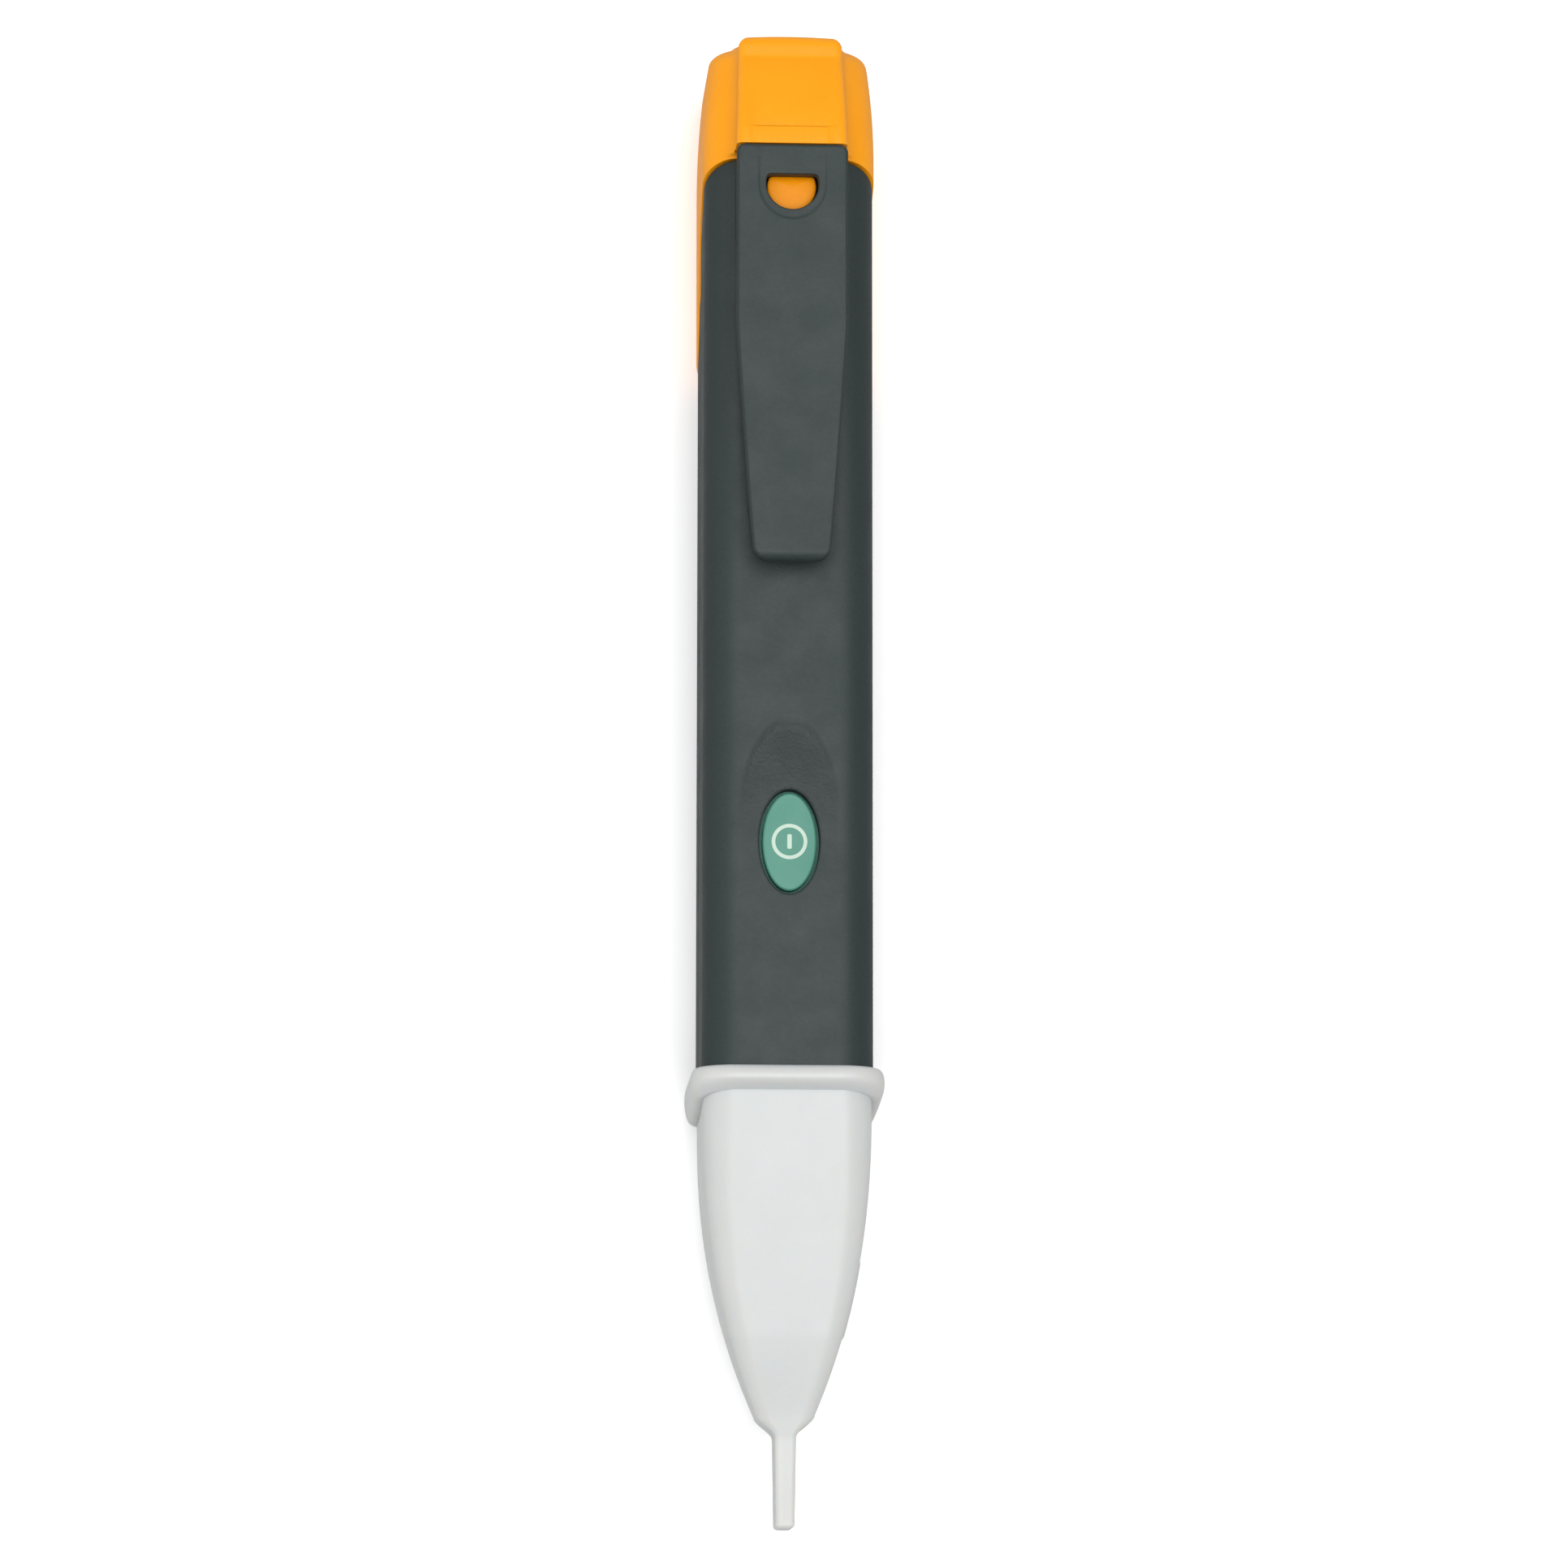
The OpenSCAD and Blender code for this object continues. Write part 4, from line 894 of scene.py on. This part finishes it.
def make_icon():
    """The printed ring and bar, which follow the button's dome."""
    skin = Skin()
    phi = np.linspace(0, 2 * np.pi, ICON_POINTS, endpoint=False)

    def ring(half_x, half_y, rise):
        x, y = half_x * np.cos(phi), BUTTON_Y + half_y * np.sin(phi)
        return np.stack([x, y, button_height(x, y) + rise], axis=1)

    inner_r = ICON_R - ICON_LINE
    profile = ((ICON_R, -ICON_RISE), (ICON_R, ICON_RISE), (ICON_R - ICON_LINE / 2, ICON_RISE),
        (inner_r, ICON_RISE), (inner_r, -ICON_RISE), (ICON_R, -ICON_RISE))
    skin.grid(np.stack([ring(radius, radius, rise) for radius, rise in profile]), wrap=True)
    reach = squircle(phi, BAR_POWER)
    bar = [ring(BAR_HALF * reach, BAR_LONG * reach, rise) for rise in (-ICON_RISE, ICON_RISE)]
    skin.grid(np.stack(bar), wrap=True)
    skin.close(bar[0], rings=1)
    skin.close(bar[1], rings=2)
    return skin.make("power_mark")


# ---------------------------------------------------------------- materials


def new_material(name):
    material = bpy.data.materials.new(name)
    material.use_nodes = True
    tree = material.node_tree
    return material, tree, tree.nodes["Principled BSDF"]


def node(tree, kind, **values):
    made = tree.nodes.new(kind)
    for key, value in values.items():
        if key in made.inputs:
            made.inputs[key].default_value = value
        else:
            setattr(made, key, value)
    return made


def object_place(tree):
    """Object coordinates in millimetres, so that pattern scales are per millimetre."""
    place = node(tree, "ShaderNodeTexCoord")
    scale = node(tree, "ShaderNodeVectorMath", operation="SCALE")
    scale.inputs["Scale"].default_value = 1 / MM
    tree.links.new(place.outputs["Object"], scale.inputs[0])
    return scale.outputs[0]


def noise(tree, place, scale, detail=2.0, rough=0.5):
    made = node(tree, "ShaderNodeTexNoise", Scale=scale, Detail=detail, Roughness=rough)
    tree.links.new(place, made.inputs["Vector"])
    return made.outputs["Fac"]


def ramp(tree, source, low, high, from_value=0.0, to_value=1.0):
    made = node(tree, "ShaderNodeMapRange")
    tree.links.new(source, made.inputs["Value"])
    made.inputs["From Min"].default_value = low
    made.inputs["From Max"].default_value = high
    made.inputs["To Min"].default_value = from_value
    made.inputs["To Max"].default_value = to_value
    return made.outputs["Result"]


def colours(tree, source, dark, light):
    """A colour between two, by a value."""
    mix = node(tree, "ShaderNodeMix", data_type="RGBA")
    tree.links.new(source, mix.inputs["Factor"])
    mix.inputs[6].default_value = (*dark, 1)
    mix.inputs[7].default_value = (*light, 1)
    return mix.outputs[2]


def math_node(tree, operation, a, b):
    made = node(tree, "ShaderNodeMath", operation=operation)
    for slot, value in enumerate((a, b)):
        if isinstance(value, (int, float)):
            made.inputs[slot].default_value = value
        else:
            tree.links.new(value, made.inputs[slot])
    return made.outputs[0]


def bump(tree, shader, height, distance, strength=1.0):
    made = node(tree, "ShaderNodeBump", Strength=strength, Distance=distance * MM)
    tree.links.new(height, made.inputs["Height"])
    tree.links.new(made.outputs["Normal"], shader.inputs["Normal"])


def moulded(name, base, spread_share=0.06, rough=(0.42, 0.52), grain_mm=0.16, grain_depth=0.012,
        scatter=0.0, scatter_mm=1.0, specular=0.5, dish_grain_and_shade=False, blotch_mm=9.0, speckle=0.25):
    """Moulded plastic: fine spark grain, speckle, slow colour drift and rubbed patches."""
    material, tree, shader = new_material(name)
    place = object_place(tree)
    drift = noise(tree, place, 1 / blotch_mm, 3.0)
    fine = noise(tree, place, 1 / 0.4, 2.0)
    slow = math_node(tree, "MULTIPLY", drift, 1 - speckle)
    quick = math_node(tree, "MULTIPLY", fine, speckle)
    both = math_node(tree, "ADD", slow, quick)
    dark = tuple(max(0, c * (1 - spread_share)) for c in base)
    light = tuple(min(1, c * (1 + spread_share)) for c in base)
    tint = colours(tree, ramp(tree, both, 0.35, 0.65), dark, light)
    tree.links.new(tint, shader.inputs["Base Color"])
    rubbed = noise(tree, place, 1 / 4.0, 4.0, 0.6)
    tree.links.new(ramp(tree, rubbed, 0.35, 0.7, rough[1], rough[0]), shader.inputs["Roughness"])
    grain = noise(tree, place, 1 / grain_mm, 3.0, 0.55)
    # Inside the thumb dish: coarser grain, and painted shade on the base colour
    if dish_grain_and_shade:
        where = node(tree, "ShaderNodeAttribute", attribute_name="grain")
        coarse = noise(tree, place, 1 / (grain_mm * 2.1), 2.0, 0.5)
        deeper = math_node(tree, "MULTIPLY", coarse, 3.2)
        extra = math_node(tree, "MULTIPLY", deeper, where.outputs["Fac"])
        grain = math_node(tree, "ADD", grain, extra)
        # Painted shade: darkens the base colour by up to 18 % in the thumb dish, most towards its top
        shade = node(tree, "ShaderNodeMix", data_type="RGBA", blend_type="MULTIPLY")
        tree.links.new(ramp(tree, where.outputs["Fac"], 0, 1, 0, 0.3), shade.inputs[0])
        tree.links.new(tint, shade.inputs[6])
        shade.inputs[7].default_value = (0.4, 0.4, 0.4, 1)
        tree.links.new(shade.outputs[2], shader.inputs["Base Color"])
    bump(tree, shader, grain, grain_depth)
    shader.inputs["Subsurface Weight"].default_value = scatter
    shader.inputs["Subsurface Radius"].default_value = (1.0, 0.6, 0.35)
    shader.inputs["Subsurface Scale"].default_value = scatter_mm * MM
    shader.inputs["Specular IOR Level"].default_value = specular
    return material


def metal(name, base, rough=(0.22, 0.4), brush=(18.0, 2.0, 18.0)):
    """Rolled or plated metal, with faint brushing along the pen."""
    material, tree, shader = new_material(name)
    place = object_place(tree)
    stretch = node(tree, "ShaderNodeVectorMath", operation="MULTIPLY")
    tree.links.new(place, stretch.inputs[0])
    stretch.inputs[1].default_value = brush
    lines = noise(tree, stretch.outputs[0], 1.0, 3.0)
    dark = tuple(c * 0.86 for c in base)
    tree.links.new(colours(tree, ramp(tree, lines, 0.3, 0.7), dark, base), shader.inputs["Base Color"])
    tree.links.new(ramp(tree, lines, 0.3, 0.7, rough[0], rough[1]), shader.inputs["Roughness"])
    bump(tree, shader, lines, 0.004)
    shader.inputs["Metallic"].default_value = 1.0
    return material


def board_material():
    """Solder mask with copper tracks that show through as lighter lines."""
    material, tree, shader = new_material("solder_mask")
    place = object_place(tree)
    tracks = node(tree, "ShaderNodeTexBrick", Scale=0.55)
    tree.links.new(place, tracks.inputs["Vector"])
    tracks.inputs["Color1"].default_value = (0.012, 0.11, 0.045, 1)
    tracks.inputs["Color2"].default_value = (0.016, 0.125, 0.05, 1)
    tracks.inputs["Mortar"].default_value = (0.03, 0.2, 0.085, 1)
    tracks.inputs["Mortar Size"].default_value = 0.05
    tree.links.new(tracks.outputs["Color"], shader.inputs["Base Color"])
    soft = noise(tree, place, 0.8)
    tree.links.new(ramp(tree, soft, 0.3, 0.7, 0.3, 0.42), shader.inputs["Roughness"])
    bump(tree, shader, tracks.outputs["Fac"], 0.01)
    return material


def cell_material():
    """Printed metal jacket of a cell, of another colour near one end, with bare steel ends."""
    material, tree, shader = new_material("cell_jacket")
    place = object_place(tree)
    along = node(tree, "ShaderNodeTexCoord")
    parts = node(tree, "ShaderNodeSeparateXYZ")
    tree.links.new(along.outputs["Generated"], parts.inputs[0])
    share = parts.outputs["Y"]
    printed = colours(tree, ramp(tree, share, 0.7, 0.705), (0.03, 0.05, 0.16), (0.55, 0.42, 0.2))
    from_middle = math_node(tree, "ABSOLUTE", math_node(tree, "SUBTRACT", share, 0.5), 0)
    bare = node(tree, "ShaderNodeMix", data_type="RGBA")
    tree.links.new(ramp(tree, from_middle, 0.474, 0.476), bare.inputs[0])
    tree.links.new(printed, bare.inputs[6])
    bare.inputs[7].default_value = (0.55, 0.55, 0.56, 1)
    tree.links.new(bare.outputs[2], shader.inputs["Base Color"])
    soft = noise(tree, place, 0.9, 3.0)
    tree.links.new(ramp(tree, soft, 0.3, 0.7, 0.25, 0.38), shader.inputs["Roughness"])
    bump(tree, shader, soft, 0.004)
    shader.inputs["Metallic"].default_value = 0.6
    return material


def led_material():
    """Tinted clear resin."""
    material, tree, shader = new_material("led_resin")
    place = object_place(tree)
    soft = noise(tree, place, 0.8, 2.0)
    tint = colours(tree, soft, (0.7, 0.03, 0.02), (0.85, 0.07, 0.04))
    tree.links.new(tint, shader.inputs["Base Color"])
    tree.links.new(ramp(tree, soft, 0.3, 0.7, 0.08, 0.14), shader.inputs["Roughness"])
    shader.inputs["Transmission Weight"].default_value = 0.6
    shader.inputs["IOR"].default_value = 1.5
    return material


DARK = (0.0166, 0.0252, 0.0246)
YELLOW = (0.70, 0.262, 0.0025)
# Painted shade: the tab's yellow is a darker copy of the cap's yellow, for the shade it sits in within
# the clip's window
TAB_YELLOW_SHADED = (0.62, 0.21, 0.001)
WHITE = (0.445, 0.458, 0.455)
GREEN = (0.045, 0.188, 0.136)
MARK = (0.38, 0.48, 0.405)


def make_materials():
    return {
        # The dark plastic carries the thumb dish's coarser grain and painted shade
        "dark": moulded("dark_plastic", DARK, 0.06, (0.46, 0.56), 0.17, 0.02, specular=0.27,
            dish_grain_and_shade=True, speckle=0.75),
        "yellow": moulded("yellow_plastic", YELLOW, 0.03, (0.44, 0.52), 0.15, 0.008, scatter=0.12,
            scatter_mm=0.8, specular=0.18),
        # The tab's smoother yellow plastic, darkened as painted shade
        "tab": moulded("yellow_smooth_shaded", TAB_YELLOW_SHADED, 0.05, (0.3, 0.38), 0.3, 0.003, scatter=0.1,
            scatter_mm=0.6, specular=0.1),
        "white": moulded("white_translucent", WHITE, 0.015, (0.32, 0.42), 0.22, 0.004, scatter=0.5,
            scatter_mm=2.6, blotch_mm=14, specular=0.35),
        "green": moulded("green_rubber", GREEN, 0.04, (0.5, 0.58), 0.13, 0.004),
        "mark": moulded("printed_ink", MARK, 0.03, (0.5, 0.6), 0.12, 0.003),
        "rubber": moulded("seal_rubber", (0.018, 0.018, 0.018), 0.1, (0.6, 0.75), 0.1, 0.006),
        "inner": moulded("inner_plastic", (0.03, 0.034, 0.038), 0.08, (0.45, 0.6), 0.25, 0.006),
        "resin": moulded("chip_resin", (0.016, 0.016, 0.018), 0.1, (0.4, 0.55), 0.08, 0.004),
        "ceramic": moulded("capacitor_ceramic", (0.38, 0.22, 0.10), 0.06, (0.3, 0.4), 0.2, 0.002),
        "brown": moulded("plunger_plastic", (0.13, 0.05, 0.03), 0.05, (0.4, 0.5), 0.2, 0.003),
        "plated": metal("plated_steel", (0.62, 0.63, 0.64)),
        "copper": metal("copper_strip", (0.78, 0.38, 0.2), (0.25, 0.42)),
        "brass": metal("brass_disc", (0.74, 0.54, 0.24), (0.25, 0.4), (14.0, 14.0, 2.0)),
        "board": board_material(),
        "cell": cell_material(),
        "led": led_material(),
    }


CARRIED_OVER = {
    "tip_gasket": "rubber", "neck_seal": "rubber", "button_seal": "rubber", "battery_sleeve": "inner",
    "contact_carrier": "inner", "circuit_board": "board", "processor_chip": "resin",
    "amplifier_chip": "resin", "transistor": "resin", "resistors": "resin", "buzzer_case": "resin",
    "switch_base": "resin", "capacitors": "ceramic", "buzzer_disc": "brass", "indicator_led": "led",
    "led_leads": "plated", "sense_antenna": "copper", "switch_cover": "plated",
    "switch_plunger": "brown", "battery_near_tip": "cell", "battery_near_cap": "cell",
    "tip_contact": "plated", "return_strip": "plated", "cap_contact": "plated", "cap_spring": "plated",
}


def dress(piece, material):
    piece.data.materials.clear()
    piece.data.materials.append(material)


# ---------------------------------------------------------------- stage, light and camera

FLOOR_SIDE = 6.0
WORLD_LIGHT = 0.52
CAMERA_FAR = 0.650
VIEW_TILT_DEG, VIEW_YAW_DEG, VIEW_ROLL_DEG = 9.0, 3.3, -0.06
VIEW_WIDE = 0.1560
VIEW_TARGET = (0, -0.0002, 0.011)
SENSOR_MM = 36.0


def make_stage():
    mesh = bpy.data.meshes.new("floor")
    side = FLOOR_SIDE / 2
    corner_points = [(-side, -side, 0), (side, -side, 0), (side, side, 0), (-side, side, 0)]
    mesh.from_pydata(corner_points, [], [(0, 1, 2, 3)])
    floor = bpy.data.objects.new("floor", mesh)
    bpy.context.scene.collection.objects.link(floor)
    material, tree, shader = new_material("pale_floor")
    place = object_place(tree)
    soft = noise(tree, place, 1 / 60)
    pale = colours(tree, soft, (0.955, 0.955, 0.955), (0.97, 0.97, 0.97))
    tree.links.new(pale, shader.inputs["Base Color"])
    shader.inputs["Roughness"].default_value = 0.7
    shader.inputs["Specular IOR Level"].default_value = 0.2
    dress(floor, material)
    floor.visible_glossy = False


def add_light(name, place, aim, wide, tall, power):
    light = bpy.data.lights.new(name, "AREA")
    light.shape, light.size, light.size_y, light.energy = "RECTANGLE", wide, tall, power
    lamp = bpy.data.objects.new(name, light)
    bpy.context.scene.collection.objects.link(lamp)
    lamp.location = place
    lamp.rotation_euler = (Vector(aim) - Vector(place)).to_track_quat("-Z", "Y").to_euler()


def make_light():
    add_light("key_softbox", (0.04, -0.03, 1.0), (0, 0, 0), 0.9, 0.9, 12.0)
    add_light("left_fill", (-0.7, 0.1, 0.5), (0, 0, 0), 0.7, 0.9, 1.7)
    world = bpy.data.worlds.new("studio")
    world.use_nodes = True
    background = world.node_tree.nodes["Background"]
    background.inputs["Color"].default_value = (1.0, 1.0, 1.0, 1)
    background.inputs["Strength"].default_value = WORLD_LIGHT
    bpy.context.scene.world = world


def make_camera():
    tilt, yaw = math.radians(VIEW_TILT_DEG), math.radians(VIEW_YAW_DEG)
    back = Vector((-math.sin(yaw) * math.cos(tilt), -math.sin(tilt), math.cos(yaw) * math.cos(tilt)))
    right = Vector((0, 1, 0)).cross(back).normalized()
    up = back.cross(right)
    roll = Matrix.Rotation(math.radians(-VIEW_ROLL_DEG), 3, back)
    axes = Matrix((roll @ right, roll @ up, back)).transposed()
    data = bpy.data.cameras.new("camera")
    data.sensor_width = SENSOR_MM
    data.lens = SENSOR_MM * CAMERA_FAR / VIEW_WIDE
    camera = bpy.data.objects.new("camera", data)
    camera.matrix_world = Matrix.Translation(Vector(VIEW_TARGET) + back * CAMERA_FAR) @ axes.to_4x4()
    bpy.context.scene.collection.objects.link(camera)
    bpy.context.scene.camera = camera


# ---------------------------------------------------------------- assembly


def place_piece(piece, body, slot, material, *replaced):
    dress(piece, material)
    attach(piece, body)
    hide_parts(*replaced)


def build():
    materials = make_materials()
    place_piece(make_front_shell(), "housing", "dark_shell", materials["dark"], "front_cover")
    place_piece(make_rear_shell(), "housing", "dark_shell", materials["dark"], "rear_cover")
    place_piece(make_tip(), "housing", "white_tip", materials["white"], "probe_tip")
    place_piece(make_cap_shell(), "cap", "yellow_cap", materials["yellow"], "end_cap")
    place_piece(make_clip_legs(), "housing", "dark_shell", materials["dark"], "clip_root")
    clip = make_clip_skin()
    dress(clip, materials["dark"])
    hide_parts("clip_arm")
    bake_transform(clip)
    place_piece(make_tab(), "tab", "yellow_tab", materials["tab"], "release_tab")
    place_piece(make_button(), "button", "button_green", materials["green"], "power_button")
    place_piece(make_icon(), "button", "icon_print", materials["mark"], "button_icon")
    for name, key in CARRIED_OVER.items():
        dress(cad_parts[name], materials[key])


make_camera()
make_stage()
make_light()
build()
bpy.context.scene.view_settings.view_transform = "Standard"
